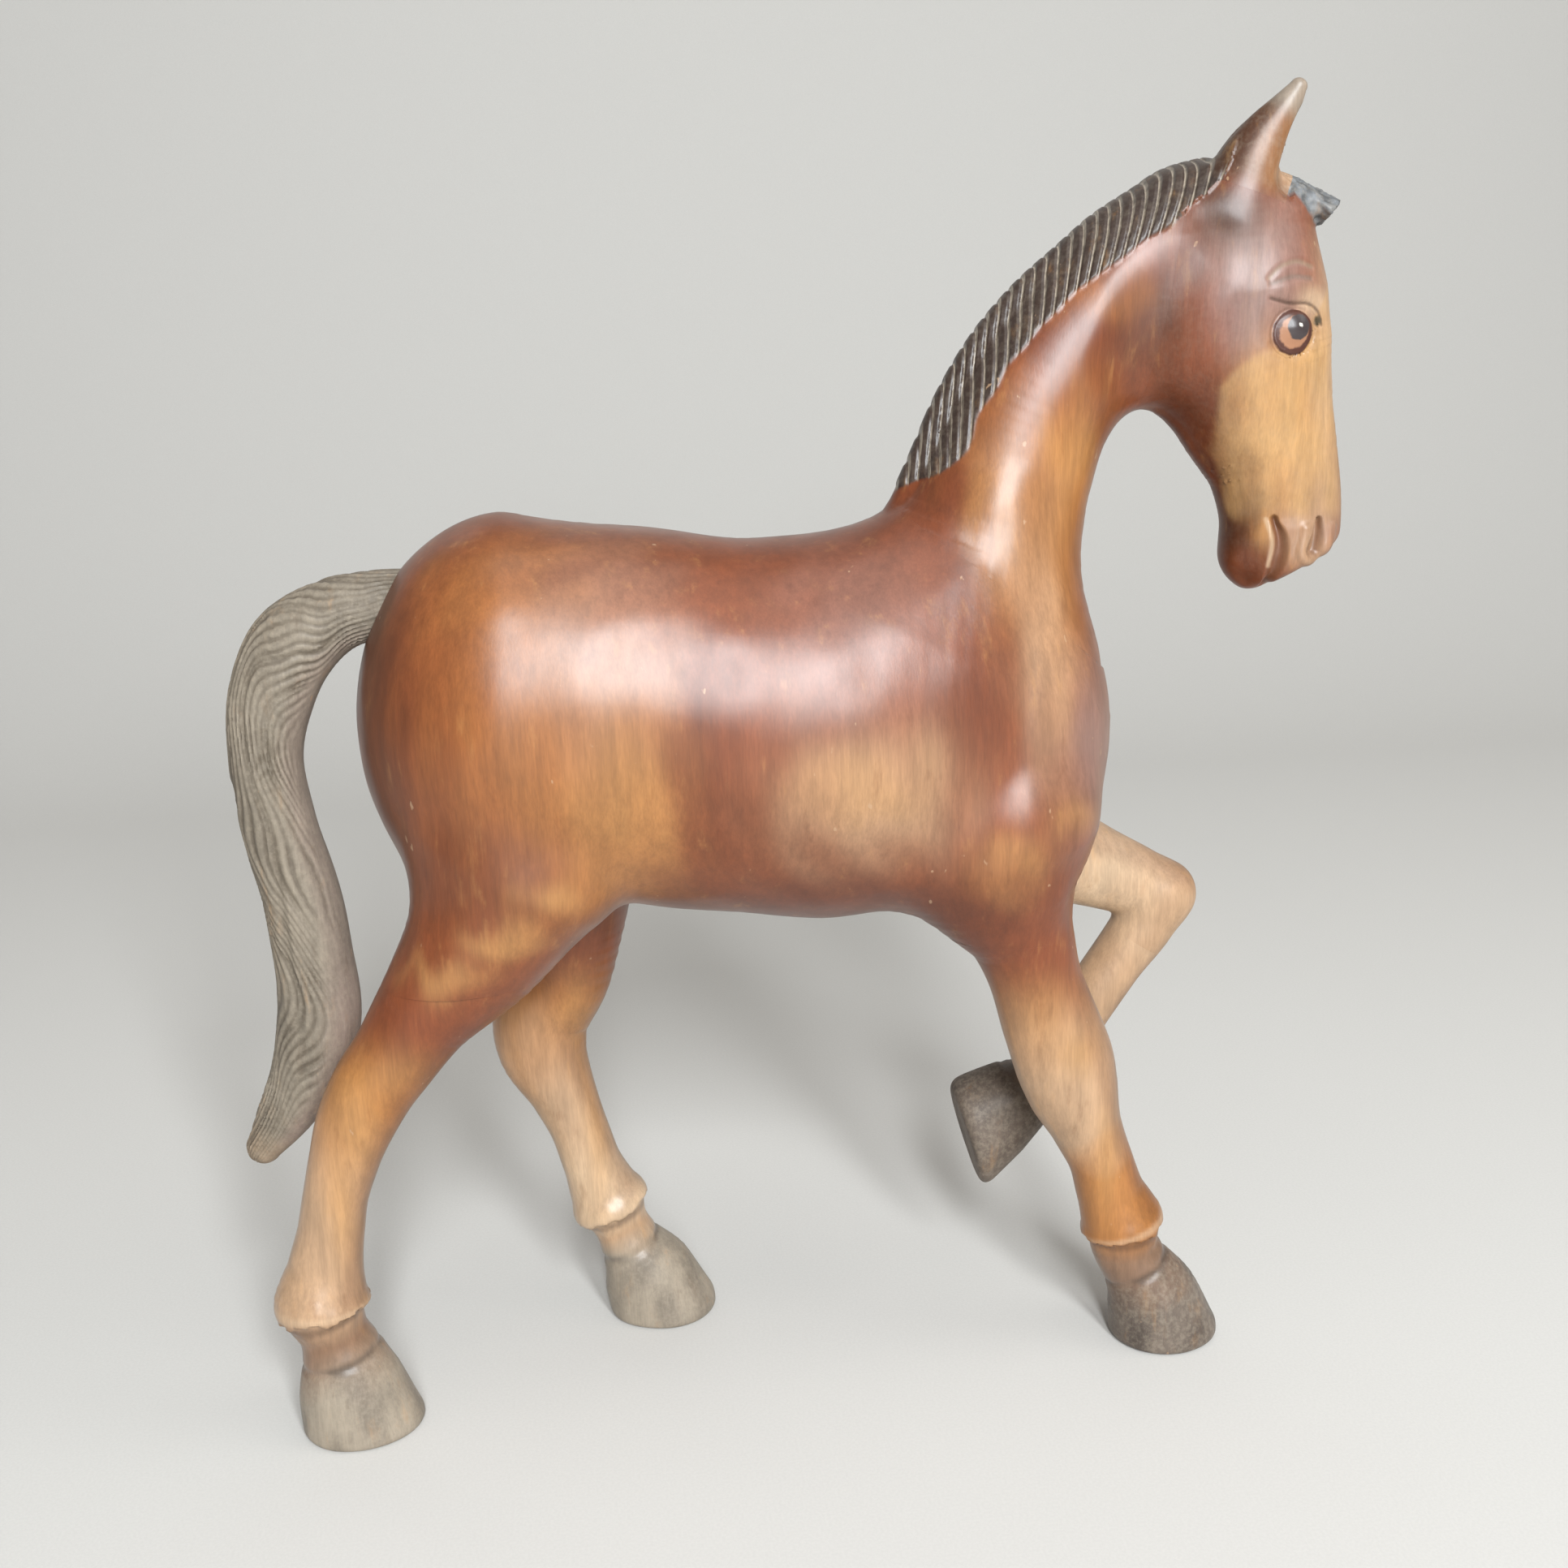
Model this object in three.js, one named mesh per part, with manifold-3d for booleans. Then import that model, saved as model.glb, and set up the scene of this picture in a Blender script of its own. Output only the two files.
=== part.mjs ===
// A carved wooden horse that walks with its left foreleg raised, glued up from blocks with dowels between
// them.
// Millimetres, +Z up. The horse faces +X, its left side is +Y, and its soles stand on z = 0.
import * as THREE from "three";
import { mergeVertices } from "three/addons/utils/BufferGeometryUtils.js";
import Module from "manifold-3d";

const wasm = await Module();
wasm.setup();

// ---- driving dimensions ----
const GLUE_GAP = 0.3; // between the faces of two blocks
const DOWEL_GAP = 0.3; // between a dowel and its hole, all round
const HEAD_TURN = THREE.MathUtils.degToRad(15); // the head looks a little to the right
const POLL_X = 150; // the head turns about a vertical line here
const TORSO_CELL = 11; // grid steps of the carved surfaces
const NECK_CELL = 7.4;
const HEAD_CELL = 6.4;
const LEG_CELL = 7.2;
const TAIL_CELL = 7;
const EAR_CELL = 4;
const SPINE_STEPS = 3; // straight steps between two stations of a limb
const FAR = 1e3; // reaches past the whole horse
const BLEND_REACH = 30; // a limb further away than this has no say in the surface

// ---- limbs ----
// A limb is a list of stations [x, y, z, half width, half depth] that its elliptical section passes through.
const TORSO = [
  [-104, 0, 276, 59, 79],
  [-64, 0, 279, 60, 70],
  [-26, 0, 268, 59, 73],
  [14, 0, 267, 58, 75],
  [48, 0, 265, 55, 70],
  [77, 0, 255, 48, 62],
];
const NECK = [
  [60, 0, 300, 38, 48],
  [76, 0, 334, 31, 38],
  [86, 0, 363, 26, 32],
  [96, 0, 386, 24, 30],
  [112, 0, 407, 23, 29],
  [134, 0, 427, 23, 31],
  [152, 0, 440, 22, 28],
];
const MANE = [
  [44, 0, 350, 6, 5],
  [54, 0, 368, 6, 6],
  [63, 0, 388, 6, 6],
  [74, 0, 406, 6, 6],
  [92, 0, 426, 6, 6],
  [112, 0, 442, 6, 6],
  [134, 0, 456, 6, 6],
  [158, 0, 466, 6, 6],
];
// The head's stations lie in its own turned plane, where y is measured from that plane.
const HEAD = [
  [170, 0, 447, 22, 28],
  [171.5, 0, 425, 25, 32.5],
  [173, 0, 405, 26, 33.5],
  [180, 0, 382, 23, 29],
  [187.5, 0, 362, 19, 24],
  [191, 0, 344, 17.5, 22.5],
  [191, 0, 330, 18, 22.5],
];
const FORELOCK = [
  [175, 0, 463, 8, 5],
  [188, 0, 460, 9, 5],
  [198, 0, 455, 9, 5],
  [210, 0, 449, 9, 5],
];
// The lock is cut off square here, in the same plane.
const FORELOCK_END = { at: [205, 0, 454], out: [0.78, 0, -0.63] };
const EAR = [
  [167, 13.5, 452, 8.5, 11],
  [171.5, 14, 465, 8.5, 11.5],
  [177, 14, 477, 7, 9.5],
  [183.5, 14, 487, 4.8, 6],
  [188, 14, 494, 2.8, 3.2],
];
const RIGHT_HIND = [
  [-108, -27, 224, 30, 35],
  [-126, -28, 196, 25, 27],
  [-146, -29, 172, 19, 19],
  [-157, -30, 157, 16, 16.8],
  [-166, -30, 145, 14.5, 16],
  [-174, -30, 131, 13.5, 15],
  [-180, -30, 116, 12.5, 13.4],
  [-185, -30, 100, 12, 12.4],
  [-188, -30, 86, 12, 12.8],
  [-191.5, -30, 71, 13, 14.6],
  [-194, -31, 56, 16, 17.6],
  [-191.5, -31, 43, 12.5, 13],
  [-189, -31, 32, 15, 16],
  [-187, -31, 20, 18, 20],
  [-183, -31, 0, 20, 24],
];
const LEFT_HIND = [
  [-100, 27, 220, 30, 38],
  [-94, 28, 190, 25, 29],
  [-94, 29, 164, 19, 20],
  [-105, 30, 143, 15, 20],
  [-105, 30, 128, 13.5, 18.5],
  [-98, 30, 108, 12.5, 14],
  [-92, 30, 90, 12, 12.2],
  [-88, 30, 75, 12, 12.4],
  [-84, 31, 62, 13.5, 14.6],
  [-81, 31, 54, 15.5, 16.4],
  [-77, 31, 43, 12, 11.8],
  [-73, 31, 33, 14, 13.5],
  [-67, 31, 20, 17.5, 19.5],
  [-60, 31, 0, 20, 23],
];
const RIGHT_FORE = [
  [76, -25, 222, 25, 34],
  [80, -24, 202, 22, 28],
  [87, -23, 184, 18, 20.5],
  [93, -22, 165, 16, 18.5],
  [99, -22, 147, 15.5, 19.5],
  [105, -22, 130, 15, 20.2],
  [109.5, -22, 115, 14.5, 18.6],
  [115, -22, 99, 12.5, 14.6],
  [121, -22, 84, 12, 13],
  [125.5, -22, 69, 12.5, 13.8],
  [131, -22, 54, 15.5, 16.6],
  [133, -22, 42, 12.5, 13.6],
  [138, -22, 33, 14, 14.6],
  [144.5, -22, 20, 17.5, 18.8],
  [150, -22, 0, 20, 23],
];
const LEFT_FOREARM = [
  [84, 26, 214, 24, 32],
  [112, 27, 203, 18, 22],
  [134, 28, 193, 15, 17.5],
  [152, 28, 185, 13.5, 15],
  [162, 28, 180, 13, 13.5],
];
const LEFT_CANNON = [
  [162, 28, 180, 13, 13],
  [153, 28, 164, 12.5, 13],
  [142, 28, 149, 11.5, 12],
  [129, 28, 130, 11.5, 11.8],
  [119, 28, 114, 12, 13],
  [114, 28, 106, 14, 15],
  [108, 28, 98, 12, 12.5],
  [102, 28, 92.5, 15, 16.5],
  [89, 28, 83, 17.5, 21.5],
  [75.5, 28, 74, 19, 24],
  [66, 28, 67, 19.5, 25],
];
const TAIL = [
  [-122, 0, 320, 13, 13],
  [-140, 0, 323, 13, 13],
  [-154, 0, 323, 13, 13],
  [-168, 0, 320, 13.5, 14],
  [-184, 0, 309, 14, 16],
  [-194, 0, 290, 14.5, 15.5],
  [-198, 0, 266, 15, 13.5],
  [-196, 0, 240, 15, 14],
  [-191, 0, 214, 15.5, 14.5],
  [-189, 0, 188, 16, 15],
  [-189, 0, 164, 16, 16],
  [-196, 0, 140, 14, 14.5],
  [-207, 0, 122, 11, 11],
  [-216, 0, 109, 7, 7],
];

// ---- seams ----
// A seam is a plane through a point, with a normal that leads away from the torso.
const NECK_SEAM = { at: [40, 0, 352], out: [0.62, 0, 0.78] };
const HEAD_SEAM = { at: [146, 0, 468], out: [0.987, 0, -0.157] };
const LEG_SEAM_Z = 186; // the three standing legs meet the torso at this height
const HIND_FRONT_X = -50;
const FORE_BACK_X = 36;
const FOREARM_SEAM = { at: [122, 28, 199], out: [0.927, 0, -0.375] };
const KNEE_SEAM = { at: [150, 28, 160], out: [-0.55, 0, -0.835] };
const RAISED_SOLE = { at: [75.5, 28, 74], out: [-0.966, 0, -0.262] };
const TAIL_SEAM = { at: [-137, 0, 323], out: [-0.96, 0, 0.28] };
const TAIL_CLEARANCE = 1; // round the tail's root where it is let into the rump
const EAR_SEAM = { at: [171, 14, 460], out: [0.35, 0, 0.94] };
const EAR_SEAT = { wide: 25, broad: 19, deep: 16 }; // cut into the head, flat for the ear to stand on
const MIDDLE_X = -5.9; // halfway between the tip of the tail and the nose

// ---- dowels: the middle of each, the way it points, its length and its diameter ----
const LEG_DOWEL = { length: 44, diameter: 9 };
const NECK_DOWEL = { length: 56, diameter: 12 };
const SMALL_DOWEL = { length: 34, diameter: 8 };
const EAR_PEG = { length: 15, diameter: 4 };
const DOWEL_SIDES = 16;

// ---- the carved field: negative inside the wood, about a distance in millimetres ----
function turnHead([x, y, z, ...halves]) {
  const forward = x - POLL_X;
  const worldX = POLL_X + forward * Math.cos(HEAD_TURN) + y * Math.sin(HEAD_TURN);
  const worldY = -forward * Math.sin(HEAD_TURN) + y * Math.cos(HEAD_TURN);
  return [worldX, worldY, z, ...halves];
}

function limb(stations, side = [0, 1, 0]) {
  const spine = new THREE.CatmullRomCurve3(stations.map(([x, y, z]) => new THREE.Vector3(x, y, z)));
  const sizes = new THREE.CatmullRomCurve3(stations.map(([, , , a, b]) => new THREE.Vector3(a, b, 0)));
  const count = (stations.length - 1) * SPINE_STEPS;
  const sideways = new THREE.Vector3(...side);
  const box = new THREE.Box3();
  const pieces = [];
  for (let i = 0; i < count; i++) {
    const start = spine.getPoint(i / count);
    const end = spine.getPoint((i + 1) / count);
    const along = end.clone().sub(start);
    const length = along.length();
    along.divideScalar(length);
    const across = sideways.clone().addScaledVector(along, -sideways.dot(along)).normalize();
    const up = along.clone().cross(across);
    const from = sizes.getPoint(i / count);
    const to = sizes.getPoint((i + 1) / count);
    pieces.push({ start, along, length, across, up, from, to });
    box.expandByPoint(start).expandByPoint(end);
  }
  const reach = Math.max(...stations.map(([, , , a, b]) => Math.max(a, b)));
  return { pieces, box: box.expandByScalar(reach) };
}

const delta = new THREE.Vector3();
function limbField({ pieces, box }, point) {
  const away = box.distanceToPoint(point);
  if (away > BLEND_REACH) return away;
  let nearest = FAR;
  for (const { start, along, length, across, up, from, to } of pieces) {
    delta.copy(point).sub(start);
    const run = delta.dot(along);
    const share = Math.min(Math.max(run / length, 0), 1);
    const width = from.x + (to.x - from.x) * share;
    const depth = from.y + (to.y - from.y) * share;
    const u = delta.dot(across);
    const v = delta.dot(up);
    const w = run - share * length;
    const cap = Math.min(width, depth);
    const k0 = Math.hypot(u / width, v / depth, w / cap);
    const k1 = Math.hypot(u / width ** 2, v / depth ** 2, w / cap ** 2);
    const value = k1 > 0 ? (k0 * (k0 - 1)) / k1 : -cap;
    nearest = Math.min(nearest, value);
  }
  return nearest;
}

function blend(a, b, radius) {
  const h = Math.max(radius - Math.abs(a - b), 0) / radius;
  return Math.min(a, b) - (h * h * radius) / 4;
}

const headSide = [Math.sin(HEAD_TURN), Math.cos(HEAD_TURN), 0];
const torso = limb(TORSO);
const neck = limb(NECK);
const mane = limb(MANE);
const head = limb(HEAD.map(turnHead), headSide);
const forelock = limb(FORELOCK.map(turnHead), headSide);
const legs = {
  rightHind: limb(RIGHT_HIND),
  leftHind: limb(LEFT_HIND),
  rightFore: limb(RIGHT_FORE),
  forearm: limb(LEFT_FOREARM),
  cannon: limb(LEFT_CANNON),
};
const tail = limb(TAIL);

const lockEnd = new THREE.Vector3(...turnHead(FORELOCK_END.at));
const lockOut = new THREE.Vector3(...FORELOCK_END.out).applyAxisAngle(new THREE.Vector3(0, 0, 1), -HEAD_TURN);
const toLockEnd = new THREE.Vector3();
function forelockField(point) {
  return Math.max(limbField(forelock, point), toLockEnd.subVectors(point, lockEnd).dot(lockOut));
}

function horse(point) {
  let value = limbField(torso, point);
  value = blend(value, limbField(legs.rightHind, point), 16);
  value = blend(value, limbField(legs.leftHind, point), 16);
  value = blend(value, limbField(legs.rightFore, point), 24);
  const raised = blend(limbField(legs.forearm, point), limbField(legs.cannon, point), 6);
  value = blend(value, raised, 14);
  const top = blend(limbField(neck, point), limbField(head, point), 24);
  value = blend(value, top, 26);
  value = blend(value, limbField(mane, point), 3);
  return blend(value, forelockField(point), 3);
}

// ---- surface nets ----
function gradient(field, point, target) {
  const step = 0.05;
  const probe = point.clone();
  for (const axis of ["x", "y", "z"]) {
    probe[axis] = point[axis] + step;
    const ahead = field(probe);
    probe[axis] = point[axis] - step;
    target[axis] = (ahead - field(probe)) / (2 * step);
    probe[axis] = point[axis];
  }
  return target;
}

// Turns over the weakest corner wherever wood meets wood, or air meets air, only across a diagonal of a
// grid face or of a grid cell, so that the surface never touches itself.
function settle(values, [nx, ny, nz]) {
  const strides = [1, nx, nx * ny];
  const flip = (members) => {
    const weakest = members.reduce((best, m) => (Math.abs(values[m]) < Math.abs(values[best]) ? m : best));
    values[weakest] = values[weakest] < 0 ? 1e-3 : -1e-3;
  };
  for (let changed = true; changed; ) {
    changed = false;
    for (let k = 0; k < nz - 1; k++)
      for (let j = 0; j < ny - 1; j++)
        for (let i = 0; i < nx - 1; i++) {
          const here = (k * ny + j) * nx + i;
          for (let axis = 0; axis < 3; axis++) {
            const b = strides[(axis + 1) % 3];
            const c = strides[(axis + 2) % 3];
            const face = [here, here + b + c, here + b, here + c];
            const [p, q, r, s] = face.map((m) => values[m] < 0);
            if (p !== q || r !== s || p === r) continue;
            flip(face);
            changed = true;
          }
          const [x, y, z] = strides;
          for (const start of [0, x, y, x + y]) {
            const cell = [0, x, y, x + y, z, x + z, y + z, x + y + z].map((offset) => here + offset);
            const ends = [here + start, here + x + y + z - start];
            const rest = cell.filter((m) => !ends.includes(m));
            const sign = values[ends[0]] < 0;
            if (sign !== values[ends[1]] < 0 || rest.some((m) => values[m] < 0 === sign)) continue;
            flip(ends);
            changed = true;
          }
        }
  }
}

function carve(field, box, cell) {
  const size = box.getSize(new THREE.Vector3());
  const [nx, ny, nz] = size.toArray().map((side) => Math.ceil(side / cell) + 2);
  const corner = new THREE.Vector3();
  const at = (i, j, k) => corner.set(i - 0.5, j - 0.5, k - 0.5).multiplyScalar(cell).add(box.min);
  const index = (i, j, k) => (k * ny + j) * nx + i;
  const values = new Float64Array(nx * ny * nz);
  for (let k = 0; k < nz; k++)
    for (let j = 0; j < ny; j++)
      for (let i = 0; i < nx; i++) {
        const edge = i === 0 || j === 0 || k === 0 || i === nx - 1 || j === ny - 1 || k === nz - 1;
        values[index(i, j, k)] = edge ? cell : field(at(i, j, k));
      }
  settle(values, [nx, ny, nz]);
  const corners = [0, 1, 2, 3, 4, 5, 6, 7].map((c) => [c & 1, (c >> 1) & 1, c >> 2]);
  const edges = [];
  for (let a = 0; a < 8; a++) for (const bit of [1, 2, 4]) if (!(a & bit)) edges.push([a, a | bit]);
  const vertexOf = new Map();
  const positions = [];
  const slope = new THREE.Vector3();
  for (let k = 0; k < nz - 1; k++)
    for (let j = 0; j < ny - 1; j++)
      for (let i = 0; i < nx - 1; i++) {
        const here = corners.map(([a, b, c]) => values[index(i + a, j + b, k + c)]);
        const sum = new THREE.Vector3();
        let crossings = 0;
        for (const [a, b] of edges) {
          if (here[a] < 0 === here[b] < 0) continue;
          const share = here[a] / (here[a] - here[b]);
          sum.x += corners[a][0] + (corners[b][0] - corners[a][0]) * share;
          sum.y += corners[a][1] + (corners[b][1] - corners[a][1]) * share;
          sum.z += corners[a][2] + (corners[b][2] - corners[a][2]) * share;
          crossings++;
        }
        if (!crossings) continue;
        sum.divideScalar(crossings);
        const vertex = at(i + sum.x, j + sum.y, k + sum.z).clone();
        for (let pass = 0; pass < 3; pass++) {
          gradient(field, vertex, slope);
          const move = -field(vertex) / Math.max(slope.lengthSq(), 0.2);
          vertex.addScaledVector(slope, THREE.MathUtils.clamp(move, -cell / 4, cell / 4));
        }
        vertexOf.set(index(i, j, k), positions.length / 3);
        positions.push(vertex.x, vertex.y, vertex.z);
      }
  const faces = [];
  const strides = [index(1, 0, 0), index(0, 1, 0), index(0, 0, 1)];
  for (let k = 0; k < nz - 1; k++)
    for (let j = 0; j < ny - 1; j++)
      for (let i = 0; i < nx - 1; i++)
        for (let axis = 0; axis < 3; axis++) {
          const here = index(i, j, k);
          const inside = values[here] < 0;
          if (inside === values[here + strides[axis]] < 0) continue;
          const b = strides[(axis + 1) % 3];
          const c = strides[(axis + 2) % 3];
          const ring = [here - b - c, here - c, here, here - b].map((cellIndex) => vertexOf.get(cellIndex));
          if (!inside) ring.reverse();
          faces.push(ring[0], ring[1], ring[2], ring[0], ring[2], ring[3]);
        }
  return new wasm.Manifold(
    new wasm.Mesh({
      numProp: 3,
      vertProperties: new Float32Array(positions),
      triVerts: new Uint32Array(faces),
    }),
  );
}

// ---- solids ----
function solid(geometry, matrix) {
  geometry.deleteAttribute("normal");
  geometry.deleteAttribute("uv");
  if (matrix) geometry.applyMatrix4(matrix);
  const merged = mergeVertices(geometry);
  return new wasm.Manifold(
    new wasm.Mesh({
      numProp: 3,
      vertProperties: merged.attributes.position.array,
      triVerts: new Uint32Array(merged.index.array),
    }),
  );
}

// All the space past a seam, or a slab of it, moved out by some distance.
function beyond({ at, out }, shift = 0, wide = FAR, deep = FAR, broad = wide) {
  const outward = new THREE.Vector3(...out).normalize();
  const turn = new THREE.Quaternion().setFromUnitVectors(new THREE.Vector3(0, 0, 1), outward);
  const place = new THREE.Vector3(...at).addScaledVector(outward, shift + deep / 2);
  const matrix = new THREE.Matrix4().compose(place, turn, new THREE.Vector3(1, 1, 1));
  return solid(new THREE.BoxGeometry(wide, broad, deep), matrix);
}

function facingBack({ at, out }) {
  return { at, out: out.map((value) => -value) };
}

function block(minX, minY, minZ, maxX, maxY, maxZ) {
  const box = new THREE.Box3(new THREE.Vector3(minX, minY, minZ), new THREE.Vector3(maxX, maxY, maxZ));
  const size = box.getSize(new THREE.Vector3());
  const middle = box.getCenter(new THREE.Vector3());
  const matrix = new THREE.Matrix4().setPosition(middle);
  return solid(new THREE.BoxGeometry(size.x, size.y, size.z), matrix);
}

function cylinder(at, along, length, diameter) {
  const direction = new THREE.Vector3(...along).normalize();
  const turn = new THREE.Quaternion().setFromUnitVectors(new THREE.Vector3(0, 1, 0), direction);
  const matrix = new THREE.Matrix4().compose(new THREE.Vector3(...at), turn, new THREE.Vector3(1, 1, 1));
  return solid(new THREE.CylinderGeometry(diameter / 2, diameter / 2, length, DOWEL_SIDES), matrix);
}

// ---- the blocks ----
const HALF = GLUE_GAP / 2;
const blocks = new Map();

function carveBox(low, high, cell, field = horse) {
  const box = new THREE.Box3(new THREE.Vector3(...low), new THREE.Vector3(...high));
  return carve(field, box.expandByScalar(1.5 * cell), cell);
}

function carveTail(extra) {
  return carveBox([-226, -18, 96], [-124, 18, 340], TAIL_CELL, (point) => limbField(tail, point) - extra);
}

function addBlock(name, shape) {
  blocks.set(name, shape);
}

addBlock(
  "torso",
  carveBox([-172, -64, LEG_SEAM_Z], [138, 64, 362], TORSO_CELL)
    .subtract(beyond(NECK_SEAM, -HALF))
    .subtract(block(-FAR, -FAR, -FAR, HIND_FRONT_X, FAR, LEG_SEAM_Z + HALF))
    .subtract(block(FORE_BACK_X, -FAR, -FAR, FAR, 0, LEG_SEAM_Z + HALF))
    .subtract(beyond(FOREARM_SEAM, -HALF).intersect(block(FORE_BACK_X, 0, 90, FAR, FAR, 262)))
    .subtract(carveTail(TAIL_CLEARANCE).intersect(beyond(TAIL_SEAM, -HALF, 50, 40)))
    .subtract(block(-FAR, -FAR, -FAR, FAR, FAR, LEG_SEAM_Z - 12)),
);
addBlock(
  "neck",
  carveBox([30, -42, 285], [165, 42, 480], NECK_CELL)
    .intersect(beyond(NECK_SEAM, HALF))
    .subtract(beyond(HEAD_SEAM, -HALF)),
);
addBlock("head", carveBox([125, -50, 308], [222, 35, 480], HEAD_CELL).intersect(beyond(HEAD_SEAM, HALF)));
const standing = {
  right_hindleg: { low: [-225, -56], high: [HIND_FRONT_X, -HALF] },
  left_hindleg: { low: [-150, HALF], high: [-30, 56] },
  right_foreleg: { low: [FORE_BACK_X, -48], high: [178, -HALF] },
};
for (const [name, { low, high }] of Object.entries(standing)) {
  const carved = carveBox([...low, 0], [...high, LEG_SEAM_Z], LEG_CELL);
  addBlock(name, carved.intersect(block(...low, 0, ...high, LEG_SEAM_Z - HALF)));
}
const forearmRoom = block(FORE_BACK_X, HALF, 90, 190, 60, 262);
const cannonRoom = block(FORE_BACK_X, HALF, 30, 190, 60, 176);
addBlock(
  "left_foreleg_upper",
  carveBox([112, HALF, 150], [182, 52, 222], LEG_CELL)
    .intersect(beyond(FOREARM_SEAM, HALF))
    .intersect(forearmRoom)
    .subtract(beyond(KNEE_SEAM, -HALF)),
);
addBlock(
  "left_foreleg_lower",
  carveBox([62, HALF, 44], [172, 54, 178], LEG_CELL)
    .intersect(beyond(KNEE_SEAM, HALF))
    .intersect(cannonRoom)
    .subtract(beyond(RAISED_SOLE)),
);
addBlock("tail", carveTail(0).subtract(beyond(facingBack(TAIL_SEAM), -HALF, 50, 30)));
for (const [name, side] of [
  ["right_ear", -1],
  ["left_ear", 1],
]) {
  const mirror = ([x, y, ...rest]) => [x, y * side, ...rest];
  const shape = limb(EAR.map(mirror).map(turnHead), headSide);
  const [outX, , outZ] = EAR_SEAM.out;
  const out = [outX * Math.cos(HEAD_TURN), -outX * Math.sin(HEAD_TURN), outZ];
  const seam = { at: turnHead(mirror(EAR_SEAM.at)), out };
  const box = shape.box.clone();
  const carved = carve((point) => limbField(shape, point), box.expandByScalar(EAR_CELL), EAR_CELL);
  addBlock(name, carved.intersect(beyond(seam, HALF)));
  const seat = beyond(seam, -HALF, EAR_SEAT.wide, EAR_SEAT.deep, EAR_SEAT.broad);
  blocks.set("head", blocks.get("head").subtract(seat));
  addDowel(`${name}_peg`, [name, "head"], seam.at, out, EAR_PEG);
}

function addDowel(name, joined, at, along, { length, diameter }) {
  const hole = cylinder(at, along, length + 2 * DOWEL_GAP, diameter + 2 * DOWEL_GAP);
  for (const host of joined) blocks.set(host, blocks.get(host).subtract(hole));
  addBlock(name, cylinder(at, along, length, diameter));
}

const down = [0, 0, -1];
const backDown = [-0.64, 0, -0.77];
const foreDown = [0.3, 0, -0.95];
addDowel("neck_dowel_upper", ["torso", "neck"], [58, 0, 337.7], NECK_SEAM.out, NECK_DOWEL);
addDowel("neck_dowel_lower", ["torso", "neck"], [84, 0, 317], NECK_SEAM.out, NECK_DOWEL);
addDowel("head_dowel_upper", ["neck", "head"], [142, 0, 443], HEAD_SEAM.out, SMALL_DOWEL);
addDowel("head_dowel_lower", ["neck", "head"], [137.7, 0, 416], HEAD_SEAM.out, SMALL_DOWEL);
const rightHindEnds = ["torso", "right_hindleg"];
addDowel("right_hindleg_dowel_front", rightHindEnds, [-126, -28, LEG_SEAM_Z], backDown, LEG_DOWEL);
addDowel("right_hindleg_dowel_rear", rightHindEnds, [-143, -28, LEG_SEAM_Z], backDown, LEG_DOWEL);
const leftHindEnds = ["torso", "left_hindleg"];
addDowel("left_hindleg_dowel_front", leftHindEnds, [-84, 28, LEG_SEAM_Z], down, LEG_DOWEL);
addDowel("left_hindleg_dowel_rear", leftHindEnds, [-104, 28, LEG_SEAM_Z], down, LEG_DOWEL);
const rightForeEnds = ["torso", "right_foreleg"];
addDowel("right_foreleg_dowel_front", rightForeEnds, [94, -23, LEG_SEAM_Z], foreDown, LEG_DOWEL);
addDowel("right_foreleg_dowel_rear", rightForeEnds, [79.5, -23, LEG_SEAM_Z], foreDown, LEG_DOWEL);
const forearmEnds = ["torso", "left_foreleg_upper"];
addDowel("left_foreleg_dowel_outer", forearmEnds, [122, 34.5, 199], FOREARM_SEAM.out, SMALL_DOWEL);
addDowel("left_foreleg_dowel_inner", forearmEnds, [122, 21.5, 199], FOREARM_SEAM.out, SMALL_DOWEL);
const kneeEnds = ["left_foreleg_upper", "left_foreleg_lower"];
addDowel("left_knee_dowel", kneeEnds, KNEE_SEAM.at, KNEE_SEAM.out, SMALL_DOWEL);
addDowel("tail_dowel", ["torso", "tail"], TAIL_SEAM.at, TAIL_SEAM.out, SMALL_DOWEL);

// ---- materials ----
function paint(color, roughness) {
  return new THREE.MeshStandardMaterial({ color, roughness, metalness: 0 });
}
const finishes = {
  brown: () => paint(0x8a4f24, 0.38),
  pale: () => paint(0x9c8163, 0.5),
  grey: () => paint(0x8d8473, 0.6),
  bare: () => paint(0xc9a878, 0.7),
};
const finishOf = {
  tail: "grey",
  left_foreleg_upper: "pale",
  left_foreleg_lower: "pale",
};

const root = new THREE.Group();
root.position.x = -MIDDLE_X;
for (const [name, shape] of blocks) {
  const { vertProperties, triVerts } = shape.getMesh();
  const geometry = new THREE.BufferGeometry();
  geometry.setAttribute("position", new THREE.BufferAttribute(new Float32Array(vertProperties), 3));
  geometry.setIndex([...triVerts]);
  geometry.computeVertexNormals();
  const finish = name.includes("dowel") || name.includes("peg") ? "bare" : (finishOf[name] ?? "brown");
  const mesh = new THREE.Mesh(geometry, finishes[finish]());
  mesh.name = name;
  root.add(mesh);
}

export default root;
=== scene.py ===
"""A carved wooden horse, glued up from blocks, stained, and rubbed back to the pale wood here and there.

The wood is one smooth field made of limbs. Each block is carved out of that field on a fine grid, worked
over with the small cuts of the knife, and sawn off along the same seams as the frame's own block, which it
stands for. Lengths are millimetres in the horse's own frame, as in the part's source, until a mesh is made.
"""

import math

import bmesh
import bpy
import numpy as np
from mathutils import Matrix, Vector

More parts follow.
